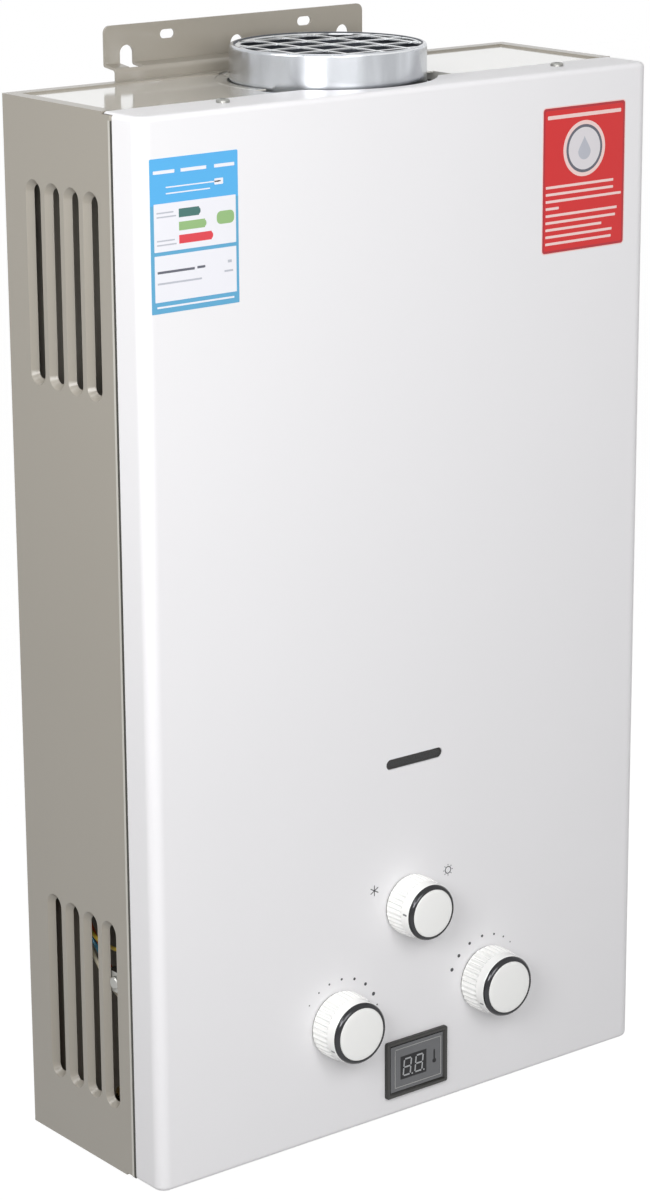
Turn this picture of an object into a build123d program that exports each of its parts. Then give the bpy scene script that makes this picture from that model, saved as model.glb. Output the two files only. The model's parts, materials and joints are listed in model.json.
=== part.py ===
"""Wall-hung gas water heater: folded case, flue collar, burner, exchanger, linked gas and water valves.

X runs right as seen from the front, Y runs back to the wall and Z runs up. The origin lies on the wall
face of the bracket, on the case's centre plane, at the height of the two wall slots. Most places are given
as a depth forward of the case's back and a height above the case's bottom. Lengths are in millimetres.
"""

import os
from math import cos, pi, radians, sin, tan

from build123d import *

# Case
case_width = 350.0
case_height = 590.0
sheet = 1.0
bend = 1.5
flange = 8.0
wall_gap = 12.0
slot_rise = 21.5
overrun = 4.0
seat_gap = 0.3
running_gap = 0.05

# Front cover
side_return = 23.5
top_return = 31.5
seam = 1.0
lap = 12.0
cover_corner = 7.0
cover_edge = 3.0
slit_width = 0.8
slit_length = 9.0
slit_inset = 8.0
spindle_hole = 9.0
screw_radius = 1.9
screw_head = 3.6
screw_head_height = 1.8
screw_length = 7.0
screw_left = 108.0
screw_right = 123.0
screw_setback = 12.0

# Louvres
louvre_count = 4
louvre_first = 28.0
louvre_last = 44.6
louvre_width = 8.0
louvre_length = 104.5
louvre_spread = 3.0
louvre_lip = 3.5
louvre_low = 91.5
louvre_drop = 97.7

# Wall bracket
bracket_x = -11.5
bracket_width = 179.0
bracket_sheet = 1.5
leg_rise = 7.0
leg_drop = 15.0
step_fall = 1.3
foot_length = 34.0
bracket_corner = 4.0
hanger_pitch = 75.0
hanger_width = 9.0
hanger_drop = 4.0
wall_slot_pitch = 95.0
wall_slot_length = 10.0
wall_slot_width = 5.0
rivet_radius = 2.0
rivet_head = 3.8
rivet_head_height = 1.2
rivet_count = 4
rivet_pitch = 45.0

# Flue
collar_radius = 54.0
collar_wall = 1.5
collar_rise = 18.0
collar_rim = 3.5
collar_foot = 6.0
bead_drop = 3.0
bead_height = 3.0
bead_proud = 0.6
notch_gap = 8.0
cover_notch_gap = 6.0
notch_lip = 4.0
panel_hem = 10.0
grille_pitch = 20.3
grille_bar = 3.0
grille_thickness = 1.4
hood_drop = 28.0
hood_neck = 4.0
hood_shoulder = 28.0
hood_top_width = 120.0

# Exchanger and burner
side_room = 60.0
rear_room = 17.0
front_room = 29.0
jacket_depth = 80.0
jacket_wall = 1.0
jacket_base = 200.0
jacket_top = 412.0
rim_width = 7.0
ear_width = 18.0
ear_spread = 45.0
fin_count = 12
fin_thickness = 0.8
fin_height = 50.0
fin_margin = 16.0
tube_level = 377.0
tube_radius = 8.0
tube_margin = 15.0
tube_run = 0.5
tube_overhang = 6.0
tube_gap = 0.3
jacket_corner = 8.0
coil_radius = 6.0
coil_gap = 0.3
coil_bend = 14.0
coil_entry_bend = 10.0
riser_gap = 21.0
return_gap = 31.0
coil_start = 245.0
coil_rise = 85.0
frame_base = 138.0
bar_count = 6
bar_margin = 25.0
bar_width = 14.0
bar_top_width = 8.0
bar_clear = 4.0
bar_height = 48.0
port_count = 7
port_length = 5.0
port_width = 1.6
port_depth = 3.0
throat_radius = 5.0
throat_level = 156.0
sight_hole = 9.0

# Burner bracket
brace_depth = 74.0
brace_sheet = 1.2
brace_level = 104.0
brace_height = 12.0
brace_tab = 16.0
brace_shoulder = 10.0

# Gas manifold
manifold_gap = 2.0
manifold_depth = 14.0
manifold_height = 16.0
manifold_overhang = 13.0
manifold_ear = 8.0
nozzle_radius = 2.6
nozzle_hex = 4.0
nozzle_length = 8.0

# Knobs and spindles
knob_pitch = 109.3
season_x = 1.2
knob_level = 68.3
season_level = 128.0
knob_radius = 19.0
season_radius = 17.2
knob_gap = 0.6
knob_reach = 21.0
skirt_length = 12.0
flute_count = 32
flute_depth = 0.7
knob_wall = 2.2
hub_radius = 5.5
socket_length = 10.0
spindle_radius = 3.0
spindle_seat = 20.0
boss_radius = 11.0
cap_dome = 0.9

# Gas valve
rod_depth = 60.0
valve_width = 55.0
valve_depth = 54.0
valve_height = 42.0
valve_corner = 6.0
valve_base = 48.0
valve_back = 38.0
spindle_boss = 8.0
bore_depth = 22.0
outlet_depth = 84.0
outlet_radius = 10.0
outlet_rise = 7.0
feed_radius = 6.0
lug_reach = 35.0
lug_height = 20.0
lug_thickness = 3.0
coil_body = 11.5
coil_flange = 13.0
coil_flange_length = 3.0
coil_length = 24.0

# Water valve
cover_setback = 36.8
disc_radius = 32.0
disc_thickness = 7.0
disc_body = 9.5
diaphragm_thickness = 1.5
guide_radius = 9.0
guide_length = 8.0
water_body_radius = 17.0
water_body_length = 38.0
outlet_boss = 9.0
outlet_boss_length = 8.0
valve_screw_count = 6
valve_screw_radius = 1.6
valve_screw_head = 2.8
valve_screw_head_height = 1.8
valve_screw_circle = 27.5

# Push rod and microswitch
rod_radius = 3.0
rod_travel = 3.0
rod_entry = 8.5
rod_collar = 6.0
rod_collar_place = 51.5
rod_collar_length = 2.0
lever_arm = 7.0
lever_overlap = 1.5
lever_thickness = 0.6
lever_width = 4.0
lever_eye = 1.3
lever_pin = 0.6
switch_width = 28.0
switch_height = 16.0
switch_depth = 10.0
switch_ear = 1.5

# Pipe fittings
fitting_radius = 10.48
fitting_bore = 7.0
fitting_drop = 16.0
fitting_hex = 27.0
fitting_hex_height = 22.0
fitting_shoulder = 6.0
fitting_hole_gap = 1.5
hot_pipe_radius = 7.0
hot_offset = 6.0
row_gap_left = 18.5
row_gap_middle = 27.0
row_gap_right = 20.7

# Drain valve
drain_radius = 6.0
drain_reach = 6.0
drain_stem = 3.0
drain_stem_length = 9.0
drain_knob_radius = 9.0
drain_knob_height = 11.0
drain_grips = 8

# Ignition
electrode_spread = 36.0
electrode_radius = 2.5
electrode_level = 194.0
electrode_front = 10.0
electrode_inside = 18.0
electrode_flange = 4.5
electrode_flange_thickness = 1.5
tip_radius = 0.8
tip_length = 30.0
controller_width = 36.0
controller_depth = 38.0
controller_height = 82.0
controller_back = 8.0
controller_base = 150.0
controller_corner = 3.0
thermostat_radius = 8.0
thermostat_thickness = 5.0
thermostat_low = 120.0
thermostat_high = 250.0
strap_thickness = 1.2
strap_width = 10.0

# Display and window
display_x = 5.4
display_level = 29.3
bezel_width = 45.0
bezel_height = 34.5
bezel_proud = 2.6
bezel_border = 3.8
bezel_bevel = 1.8
bezel_lip = 2.0
bezel_corner = 1.2
display_set_back = 2.5
module_depth = 12.0
window_x = 4.7
window_level = 213.8
window_length = 40.5
window_height = 6.0
window_flange = 4.0
window_thickness = 2.0

# Battery box
battery_margin = 9.0
cell_radius = 17.1
cell_length = 61.5
cell_button = 4.5
cell_button_height = 1.5
box_wall = 1.5
box_back = 22.0
box_inner_width = 69.0
box_inner_depth = 65.0
box_inner_height = 36.0
contact_thickness = 0.5
contact_width = 20.0
door_border = 2.0
door_thickness = 2.0
knuckle_radius = 2.6
knuckle_length = 6.0
hinge_pin = 1.2
hinge_gap = 7.0
hinge_spread = 28.0

# Wires
wire_radius = 1.1
wire_softness = 0.45

half_width = case_width / 2
case_depth = rear_room + jacket_depth + front_room
case_top = -slot_rise
case_bottom = case_top - case_height
inner_half = half_width - sheet
cover_rear = case_depth - side_return
cover_top_rear = case_depth - top_return
shoulder = cover_rear - seam
joggle = sheet + seat_gap
jacket_width = case_width - 2 * side_room
flue_depth = rear_room + jacket_depth / 2
exchanger_back = rear_room
exchanger_front = rear_room + jacket_depth
exchanger_half = jacket_width / 2
panel_top = case_height - sheet
hood_top = case_height - hood_drop

# Row of pieces above the bottom panel. They keep their sizes and share what is left of the case's width.
box_width = box_inner_width + 2 * box_wall
coil_room = coil_length + 2 * coil_flange_length
row_pieces = fitting_hex + hot_pipe_radius + coil_room + valve_width / 2 + knob_pitch + box_width + battery_margin
row_ease = (2 * inner_half - row_pieces) / (row_gap_left + row_gap_middle + row_gap_right)
hot_x = -inner_half + row_gap_left * row_ease + fitting_hex / 2
gas_x = hot_x + hot_pipe_radius + row_gap_middle * row_ease + coil_room + valve_width / 2
water_x = gas_x + knob_pitch
battery_x = inner_half - battery_margin - box_width / 2
cover_x = water_x - cover_setback
rod_left = gas_x + rod_entry
rod_collar_x = gas_x + rod_collar_place


def y_at(depth):
    return -(wall_gap + depth)


def z_at(height):
    return case_bottom + height


def front_plane(depth):
    """Upright plane this far forward of the case's back. It faces the front."""
    return Plane.XZ.offset(wall_gap + depth)


def level_plane(height):
    """Level plane this far above the case's bottom. It faces up."""
    return Plane.XY.offset(case_bottom + height)


def write_piece(piece, name):
    piece.part.label = name
    export_step(piece.part, f"parts/{name}.step")


def bent_tube(route, bends, radius):
    """Solid tube along straight runs joined by arcs. The route holds x, depth and height."""
    places = [(x, y_at(depth), z_at(height)) for x, depth, height in route]
    with BuildPart() as tube:
        with BuildLine() as path:
            FilletPolyline(*places, radius=bends)
        with BuildSketch(Plane(origin=path.line @ 0, z_dir=path.line % 0)):
            Circle(radius)
        sweep()
    return tube


os.makedirs("parts", exist_ok=True)


# Case

louvre_pitch = (case_depth - louvre_first - louvre_last) / (louvre_count - 1)
louvre_depths = [louvre_first + i * louvre_pitch for i in range(louvre_count)]
louvre_rows = (louvre_low, case_height - louvre_drop)
louvre_places = [
    Location((side * half_width, y_at(depth), z_at(height)), (0, side * -90, 0))
    for side in (-1, 1)
    for height in louvre_rows
    for depth in louvre_depths
]


def louvre_tool(wall):
    """Narrowing slot-shaped block, the wall wider all round than the louvre's opening."""
    with BuildPart() as tool:
        with BuildSketch(Plane.XY):
            SlotOverall(louvre_length + 2 * (louvre_spread + wall), louvre_width + 2 * (louvre_spread + wall))
        with BuildSketch(Plane.XY.offset(louvre_lip)):
            SlotOverall(louvre_length + 2 * wall, louvre_width + 2 * wall)
        loft()
    return tool.part


notch_radius = collar_radius + notch_gap
lip_block = louvre_tool(sheet)
lip_hole = louvre_tool(0)
rivet_height = case_height - foot_length / 2
rivet_places = [
    (bracket_x + (i - (rivet_count - 1) / 2) * rivet_pitch, rivet_height) for i in range(rivet_count)
]

with BuildPart() as rear_housing:
    with BuildSketch(level_plane(0)):
        with BuildLine():
            FilletPolyline(
                (-half_width + joggle, y_at(shoulder + lap)),
                (-half_width + joggle, y_at(shoulder)),
                (-half_width, y_at(shoulder - joggle)),
                (-half_width, y_at(0)),
                (half_width, y_at(0)),
                (half_width, y_at(shoulder - joggle)),
                (half_width - joggle, y_at(shoulder)),
                (half_width - joggle, y_at(shoulder + lap)),
                radius=[joggle / 3, joggle / 3, bend, bend, joggle / 3, joggle / 3],
            )
            offset(amount=sheet, side=Side.RIGHT)
        make_face()
    extrude(amount=case_height)
    for height in (0, panel_top):
        with BuildSketch(level_plane(height)):
            with BuildLine():
                Polyline(
                    (-half_width + bend, y_at(sheet / 2)),
                    (half_width - bend, y_at(sheet / 2)),
                    (half_width - sheet / 2, y_at(bend)),
                    (half_width - sheet / 2, y_at(cover_top_rear - seam)),
                    (half_width - flange, y_at(cover_top_rear - seam)),
                    (half_width - flange, y_at(flange)),
                    (-half_width + flange, y_at(flange)),
                    (-half_width + flange, y_at(cover_top_rear - seam)),
                    (-half_width + sheet / 2, y_at(cover_top_rear - seam)),
                    (-half_width + sheet / 2, y_at(bend)),
                    close=True,
                )
            make_face()
        extrude(amount=sheet)
    for depth, cut in ((cover_top_rear - seam, joggle), (shoulder, cover_edge + seat_gap)):
        for height in (0, case_height - cut):
            with BuildSketch(level_plane(height)):
                with Locations((0, y_at(depth))):
                    Rectangle(case_width, case_depth, align=(Align.CENTER, Align.MAX))
            extrude(amount=cut, mode=Mode.SUBTRACT)
    with BuildSketch(level_plane(panel_top)):
        with Locations((0, y_at(flue_depth))):
            Circle(notch_radius)
        with Locations((0, y_at(sheet))):
            Rectangle(case_width, case_depth, align=(Align.CENTER, Align.MIN), mode=Mode.SUBTRACT)
    extrude(amount=sheet, mode=Mode.SUBTRACT)
    with Locations(*louvre_places):
        add(lip_block)
    with Locations(*louvre_places):
        add(lip_hole, mode=Mode.SUBTRACT)
    with BuildSketch(front_plane(0)):
        with Locations(*[(x, z_at(height)) for x, height in rivet_places]):
            Circle(rivet_radius + running_gap)
    extrude(amount=overrun, mode=Mode.SUBTRACT)
write_piece(rear_housing, "rear_housing")

panel_half = half_width - cover_edge - seat_gap
panel_front = cover_top_rear + lap
screw_depth = cover_top_rear + screw_setback
screw_places = [(-screw_left, y_at(screw_depth)), (screw_right, y_at(screw_depth))]

with BuildPart() as top_panel:
    with BuildSketch(level_plane(panel_top - sheet)):
        with Locations((0, y_at(sheet))):
            Rectangle(2 * panel_half, panel_front - sheet, align=(Align.CENTER, Align.MAX))
        with Locations((0, y_at(flue_depth))):
            Circle(notch_radius, mode=Mode.SUBTRACT)
            Rectangle(2 * notch_radius, case_depth, align=(Align.CENTER, Align.MAX), mode=Mode.SUBTRACT)
        with Locations(*screw_places):
            Circle(screw_radius + running_gap, mode=Mode.SUBTRACT)
    extrude(amount=sheet)
    with BuildSketch(level_plane(panel_top - sheet)):
        with Locations((0, y_at(flue_depth))):
            Circle(notch_radius + sheet)
            Rectangle(
                2 * (notch_radius + sheet), panel_front - flue_depth, align=(Align.CENTER, Align.MAX)
            )
            Circle(notch_radius, mode=Mode.SUBTRACT)
            Rectangle(2 * notch_radius, case_depth, align=(Align.CENTER, Align.MAX), mode=Mode.SUBTRACT)
        with Locations((0, y_at(sheet))):
            Rectangle(case_width, case_depth, align=(Align.CENTER, Align.MIN), mode=Mode.SUBTRACT)
    extrude(amount=-notch_lip)
    with BuildSketch(level_plane(panel_top)):
        with Locations((0, y_at(sheet))):
            Rectangle(2 * panel_half, sheet, align=(Align.CENTER, Align.MAX))
    extrude(amount=-panel_hem)
write_piece(top_panel, "top_panel")

fitting_hole = fitting_radius + fitting_hole_gap
drain_x = cover_x + disc_thickness + diaphragm_thickness + disc_body / 2
box_depth = box_inner_depth + 2 * box_wall
box_centre = box_back + box_depth / 2
hinge_depth = box_back - hinge_gap
hinge_level = sheet - seat_gap - knuckle_radius
ear_gap = knuckle_length + seat_gap

with BuildPart() as bottom_panel:
    with BuildSketch(level_plane(sheet)):
        with Locations((0, y_at(sheet))):
            Rectangle(2 * panel_half, panel_front - sheet, align=(Align.CENTER, Align.MAX))
        with Locations(*[(x, y_at(rod_depth)) for x in (hot_x, gas_x, water_x)]):
            Circle(fitting_hole, mode=Mode.SUBTRACT)
        with Locations((drain_x, y_at(rod_depth))):
            Circle(drain_radius + fitting_hole_gap, mode=Mode.SUBTRACT)
        with Locations((battery_x, y_at(box_centre))):
            Rectangle(box_inner_width, box_inner_depth, mode=Mode.SUBTRACT)
        with Locations(*screw_places):
            Circle(screw_radius + running_gap, mode=Mode.SUBTRACT)
    extrude(amount=sheet)
    for x in (battery_x - hinge_spread - ear_gap, battery_x + hinge_spread + ear_gap):
        with BuildSketch(Plane.YZ.offset(x - knuckle_length / 2)):
            with Locations((y_at(hinge_depth), z_at(hinge_level))):
                Circle(knuckle_radius)
                Rectangle(2 * knuckle_radius, sheet - hinge_level, align=(Align.CENTER, Align.MIN))
                Circle(hinge_pin, mode=Mode.SUBTRACT)
        extrude(amount=knuckle_length)
write_piece(bottom_panel, "bottom_panel")

with BuildPart() as front_cover:
    with BuildSketch(front_plane(case_depth)):
        with Locations((0, (case_top + case_bottom) / 2)):
            Rectangle(case_width, case_height)
    extrude(amount=-top_return)
    fillet(front_cover.edges().filter_by(Axis.Z).group_by(Axis.Y)[0], radius=cover_corner)
    rims = front_cover.faces().sort_by(Axis.Z)[-1].edges() + front_cover.faces().sort_by(Axis.Z)[0].edges()
    fillet(rims.sort_by(Axis.Y)[:-2], radius=cover_edge)
    offset(amount=-sheet, openings=front_cover.faces().sort_by(Axis.Y)[-1])
    with BuildSketch(Plane.YZ.offset(-half_width)):
        with Locations((y_at(cover_rear), (case_top + case_bottom) / 2)):
            Rectangle(case_depth, case_height - 2 * sheet, align=(Align.MIN, Align.CENTER))
    extrude(amount=case_width, mode=Mode.SUBTRACT)
    with BuildSketch(level_plane(case_height)):
        with Locations((0, y_at(flue_depth))):
            Circle(collar_radius + cover_notch_gap)
    extrude(amount=-joggle, mode=Mode.SUBTRACT)
    slit_places = [
        (side * (half_width - slit_inset), y_at(case_depth - cover_edge)) for side in (-1, 1)
    ]
    with BuildSketch(level_plane(-overrun)):
        with Locations(*slit_places):
            Rectangle(slit_width, slit_length, align=(Align.CENTER, Align.MIN))
        with Locations(*screw_places):
            Circle(screw_radius + seat_gap)
    extrude(amount=case_height + 2 * overrun, mode=Mode.SUBTRACT)
    with BuildSketch(front_plane(case_depth - cover_edge)):
        with Locations((window_x, z_at(window_level))):
            SlotOverall(window_length, window_height)
        with Locations((display_x, z_at(display_level))):
            Rectangle(bezel_width - 2 * bezel_lip, bezel_height - 2 * bezel_lip)
        with Locations(*[(x, z_at(h)) for x, h in (
            (gas_x, knob_level), (water_x, knob_level), (season_x, season_level)
        )]):
            Circle(spindle_hole)
    extrude(amount=cover_edge + overrun, mode=Mode.SUBTRACT)
write_piece(front_cover, "front_cover")

with BuildPart() as case_screw:
    with BuildSketch(Plane.XY):
        Circle(screw_head)
    extrude(amount=screw_head_height)
    chamfer(case_screw.edges().sort_by(Axis.Z)[-1], length=screw_head_height / 3)
    with BuildSketch(Plane.XY):
        Circle(screw_radius)
    extrude(amount=-screw_length)

tab_face = inner_half - louvre_lip + sheet - seat_gap
tab_screw_places = [
    Location((side * tab_face, y_at(louvre_depths[-1]), z_at(brace_level + brace_height / 2)), (0, side * 90, 0))
    for side in (-1, 1)
]

with BuildPart() as case_screws:
    with Locations(*[Location((x, y, z_at(case_height))) for x, y in screw_places]):
        add(case_screw.part)
    with Locations(*[Location((x, y, z_at(0)), (180, 0, 0)) for x, y in screw_places]):
        add(case_screw.part)
    with Locations(*tab_screw_places):
        add(case_screw.part)
write_piece(case_screws, "case_screws")


# Wall bracket

with BuildPart() as wall_bracket:
    with BuildSketch(Plane.YZ.offset(bracket_x - bracket_width / 2)):
        with BuildLine():
            FilletPolyline(
                (0, leg_rise),
                (0, -leg_drop),
                (-wall_gap + bracket_sheet, -leg_drop - step_fall),
                (-wall_gap + bracket_sheet, case_top - foot_length),
                radius=[bend, bend],
            )
            offset(amount=bracket_sheet, side=Side.RIGHT)
        make_face()
    extrude(amount=bracket_width)
    top_corners = wall_bracket.edges().filter_by(Axis.Y).group_by(Axis.Z)[-1]
    fillet(top_corners, radius=bracket_corner)
    with BuildSketch(Plane.XZ.offset(-overrun)):
        with Locations((bracket_x - wall_slot_pitch / 2, 0), (bracket_x + wall_slot_pitch / 2, 0)):
            SlotOverall(wall_slot_length, wall_slot_width)
    extrude(amount=wall_gap, mode=Mode.SUBTRACT)
    hanger_round = hanger_drop + hanger_width / 2
    hanger_places = [(bracket_x + i * hanger_pitch, -hanger_round) for i in (-1, 0, 1)]
    with BuildSketch(Plane.XZ.offset(-overrun)):
        with Locations(*hanger_places):
            Circle(hanger_width / 2)
            Rectangle(hanger_width, leg_drop + step_fall + 2 * bracket_sheet - hanger_round,
                      align=(Align.CENTER, Align.MAX))
    extrude(amount=overrun + wall_gap - bracket_sheet, mode=Mode.SUBTRACT)
    with BuildSketch(front_plane(0)):
        with Locations(*[(x, z_at(height)) for x, height in rivet_places]):
            Circle(rivet_radius + running_gap)
    extrude(amount=-wall_gap, mode=Mode.SUBTRACT)
write_piece(wall_bracket, "wall_bracket")

with BuildPart() as bracket_rivets:
    for depth, length in ((-bracket_sheet, -rivet_head_height), (sheet, rivet_head_height)):
        with BuildSketch(front_plane(depth)):
            with Locations(*[(x, z_at(height)) for x, height in rivet_places]):
                Circle(rivet_head)
        extrude(amount=length)
    with BuildSketch(front_plane(-bracket_sheet)):
        with Locations(*[(x, z_at(height)) for x, height in rivet_places]):
            Circle(rivet_radius)
    extrude(amount=bracket_sheet + sheet)
write_piece(bracket_rivets, "bracket_rivets")


# Flue

collar_top = case_height + collar_rise
bead_top = case_height - bead_drop
collar_inner = collar_radius - collar_wall
rim_inner = collar_radius - collar_rim

with BuildPart() as flue_collar:
    with BuildSketch(Plane.XZ) as collar_half:
        with BuildLine():
            Polyline(
                (collar_inner, z_at(hood_top)),
                (collar_radius + collar_foot, z_at(hood_top)),
                (collar_radius + collar_foot, z_at(hood_top + collar_wall)),
                (collar_radius, z_at(hood_top + collar_wall)),
                (collar_radius, z_at(bead_top - bead_height)),
                (collar_radius + bead_proud, z_at(bead_top - bead_height + bead_proud / 2)),
                (collar_radius + bead_proud, z_at(bead_top - bead_proud / 2)),
                (collar_radius, z_at(bead_top)),
                (collar_radius, z_at(collar_top)),
                (rim_inner, z_at(collar_top)),
                (rim_inner, z_at(collar_top - collar_rim)),
                (collar_inner, z_at(collar_top - collar_rim)),
                close=True,
            )
        make_face()
        fillet(collar_half.vertices().group_by(Axis.Y)[-1], radius=collar_wall)
    revolve(axis=Axis.Z)
flue_collar.part = flue_collar.part.moved(Location((0, y_at(flue_depth), 0)))
with flue_collar:
    with BuildSketch(level_plane(hood_top)):
        with Locations((0, y_at(sheet + seat_gap))):
            Rectangle(case_width, case_depth, align=(Align.CENTER, Align.MIN))
    extrude(amount=collar_top, mode=Mode.SUBTRACT)
write_piece(flue_collar, "flue_collar")

grille_top = collar_top - collar_rim
grille_reach = int(collar_radius / grille_pitch)

with BuildPart() as flue_grille:
    with BuildSketch(level_plane(grille_top)):
        with Locations((0, y_at(flue_depth))):
            with Locations(*[(0, i * grille_pitch) for i in range(-grille_reach, grille_reach + 1)]):
                Rectangle(2 * collar_radius, grille_bar)
            with Locations(*[(i * grille_pitch, 0) for i in range(-grille_reach, grille_reach + 1)]):
                Rectangle(grille_bar, 2 * collar_radius)
            Circle(collar_inner, mode=Mode.INTERSECT)
            Circle(collar_inner)
            Circle(rim_inner, mode=Mode.SUBTRACT)
            with Locations(*[(0, i * grille_pitch) for i in range(-grille_reach, grille_reach + 1)]):
                Rectangle(2 * rim_inner, grille_bar)
            with Locations(*[(i * grille_pitch, 0) for i in range(-grille_reach, grille_reach + 1)]):
                Rectangle(grille_bar, 2 * rim_inner)
            Circle(collar_inner, mode=Mode.INTERSECT)
    extrude(amount=-grille_thickness)
write_piece(flue_grille, "flue_grille")

with BuildPart() as flue_hood:
    with BuildSketch(front_plane(exchanger_back)):
        with BuildLine():
            Polyline(
                (-exchanger_half, z_at(jacket_top)),
                (exchanger_half, z_at(jacket_top)),
                (exchanger_half, z_at(jacket_top + hood_shoulder)),
                (hood_top_width / 2, z_at(hood_top)),
                (-hood_top_width / 2, z_at(hood_top)),
                (-exchanger_half, z_at(jacket_top + hood_shoulder)),
                close=True,
            )
        make_face()
    extrude(amount=jacket_depth)
    offset(amount=-jacket_wall, openings=flue_hood.faces().sort_by(Axis.Z)[0])
    with BuildSketch(level_plane(hood_top - 2 * jacket_wall)):
        with Locations((0, y_at(flue_depth))):
            Circle(rim_inner - hood_neck)
    extrude(amount=4 * jacket_wall, mode=Mode.SUBTRACT)
    with BuildSketch(level_plane(jacket_top)):
        with Locations((0, y_at(flue_depth))):
            Rectangle(jacket_width + 2 * rim_width, jacket_depth + 2 * rim_width)
            Rectangle(jacket_width - 2 * jacket_wall, jacket_depth - 2 * jacket_wall, mode=Mode.SUBTRACT)
    extrude(amount=jacket_wall)
    for x in (-ear_spread, ear_spread):
        with BuildSketch(level_plane(hood_top - ear_width)):
            with Locations((x, y_at(exchanger_back))):
                Rectangle(jacket_wall, exchanger_back - sheet, align=(Align.CENTER, Align.MIN))
            with Locations((x, y_at(sheet))):
                Rectangle(ear_width, jacket_wall, align=(Align.CENTER, Align.MAX))
        extrude(amount=ear_width)
write_piece(flue_hood, "flue_hood")


# Exchanger

tube_pitch = jacket_depth / 2 - tube_margin
tube_bend = tube_pitch / 2 - tube_run
tube_depths = [flue_depth + i * tube_pitch for i in (-1, 0, 1)]
tube_end = exchanger_half + tube_overhang


def rimmed_duct(low, high, rims):
    """Open duct with rounded corners between two heights, with outward rims at the heights given."""
    with BuildPart() as duct:
        with BuildSketch(level_plane(low)):
            with Locations((0, y_at(flue_depth))):
                RectangleRounded(jacket_width, jacket_depth, jacket_corner)
                RectangleRounded(
                    jacket_width - 2 * jacket_wall, jacket_depth - 2 * jacket_wall, jacket_corner - jacket_wall,
                    mode=Mode.SUBTRACT,
                )
        extrude(amount=high - low)
        for height in rims:
            with BuildSketch(level_plane(height)):
                with Locations((0, y_at(flue_depth))):
                    Rectangle(jacket_width + 2 * rim_width, jacket_depth + 2 * rim_width)
                    RectangleRounded(jacket_width, jacket_depth, jacket_corner, mode=Mode.SUBTRACT)
            extrude(amount=jacket_wall)
    return duct.part


with BuildPart() as exchanger_jacket:
    add(rimmed_duct(jacket_base, jacket_top, (jacket_base, jacket_top - jacket_wall)))
    with BuildSketch(Plane.YZ.offset(-exchanger_half)):
        with Locations(*[(y_at(depth), z_at(tube_level)) for depth in tube_depths]):
            Circle(tube_radius + tube_gap)
    extrude(amount=jacket_width, mode=Mode.SUBTRACT)
    with BuildSketch(front_plane(exchanger_front)):
        with Locations((window_x, z_at(window_level))):
            Circle(sight_hole)
    extrude(amount=-2 * jacket_wall, mode=Mode.SUBTRACT)
write_piece(exchanger_jacket, "exchanger_jacket")

fin_pitch = (jacket_width - 2 * fin_margin) / (fin_count - 1)
fin_depth = jacket_depth - 2 * jacket_wall

with BuildPart() as fin_block:
    for i in range(fin_count):
        with BuildSketch(Plane.YZ.offset(-exchanger_half + fin_margin + i * fin_pitch)):
            with Locations((y_at(flue_depth), z_at(tube_level))):
                Rectangle(fin_depth, fin_height)
            with Locations(*[(y_at(depth), z_at(tube_level)) for depth in tube_depths]):
                Circle(tube_radius + tube_gap, mode=Mode.SUBTRACT)
        extrude(amount=fin_thickness)
write_piece(fin_block, "fin_block")

turn_x = tube_end + tube_pitch / 2
exchanger_tubes = bent_tube(
    [
        (tube_end, tube_depths[0], tube_level),
        (-turn_x, tube_depths[0], tube_level),
        (-turn_x, tube_depths[1], tube_level),
        (turn_x, tube_depths[1], tube_level),
        (turn_x, tube_depths[2], tube_level),
        (-tube_end, tube_depths[2], tube_level),
    ],
    tube_bend,
    tube_radius,
)
write_piece(exchanger_tubes, "exchanger_tubes")

wrap_x = exchanger_half + coil_radius + coil_gap
wrap_back = exchanger_back - coil_radius - coil_gap
wrap_front = exchanger_front + coil_radius + coil_gap
water_outlet_x = cover_x + disc_thickness + diaphragm_thickness + disc_body + water_body_length
water_outlet_x += outlet_boss_length
riser_x = exchanger_half + riser_gap
return_x = exchanger_half + return_gap
coil_shares = (0, 0.035, 0.06, 0.2, 0.353, 0.53, 0.68, 0.835, 1)
coil_levels = [coil_start + share * coil_rise for share in coil_shares]
coil_route = [
    (water_outlet_x, rod_depth, knob_level),
    (riser_x, rod_depth, knob_level),
    (riser_x, rod_depth, coil_levels[0]),
    (riser_x, wrap_front, coil_levels[1]),
    (-wrap_x, wrap_front, coil_levels[2]),
    (-wrap_x, wrap_back, coil_levels[3]),
    (wrap_x, wrap_back, coil_levels[4]),
    (wrap_x, wrap_front, coil_levels[5]),
    (-wrap_x, wrap_front, coil_levels[6]),
    (-wrap_x, wrap_back, coil_levels[7]),
    (return_x, wrap_back, coil_levels[8]),
    (return_x, tube_depths[0], tube_level),
    (tube_end, tube_depths[0], tube_level),
]
jacket_coil = bent_tube(coil_route, [coil_bend] * 9 + [coil_entry_bend] * 2, coil_radius)
write_piece(jacket_coil, "jacket_coil")

hot_offset_x = hot_x - hot_offset
fitting_top = sheet * 2 + fitting_hex_height + fitting_shoulder
hot_outlet_pipe = bent_tube(
    [
        (-tube_end, tube_depths[2], tube_level),
        (hot_offset_x, tube_depths[2], tube_level),
        (hot_offset_x, tube_depths[2], tube_level - 2 * tube_pitch),
        (hot_x, rod_depth, tube_level - 4 * tube_pitch),
        (hot_x, rod_depth, fitting_top),
    ],
    [tube_bend, 2 * tube_pitch, 2 * tube_pitch],
    hot_pipe_radius,
)
write_piece(hot_outlet_pipe, "hot_outlet_pipe")

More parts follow.
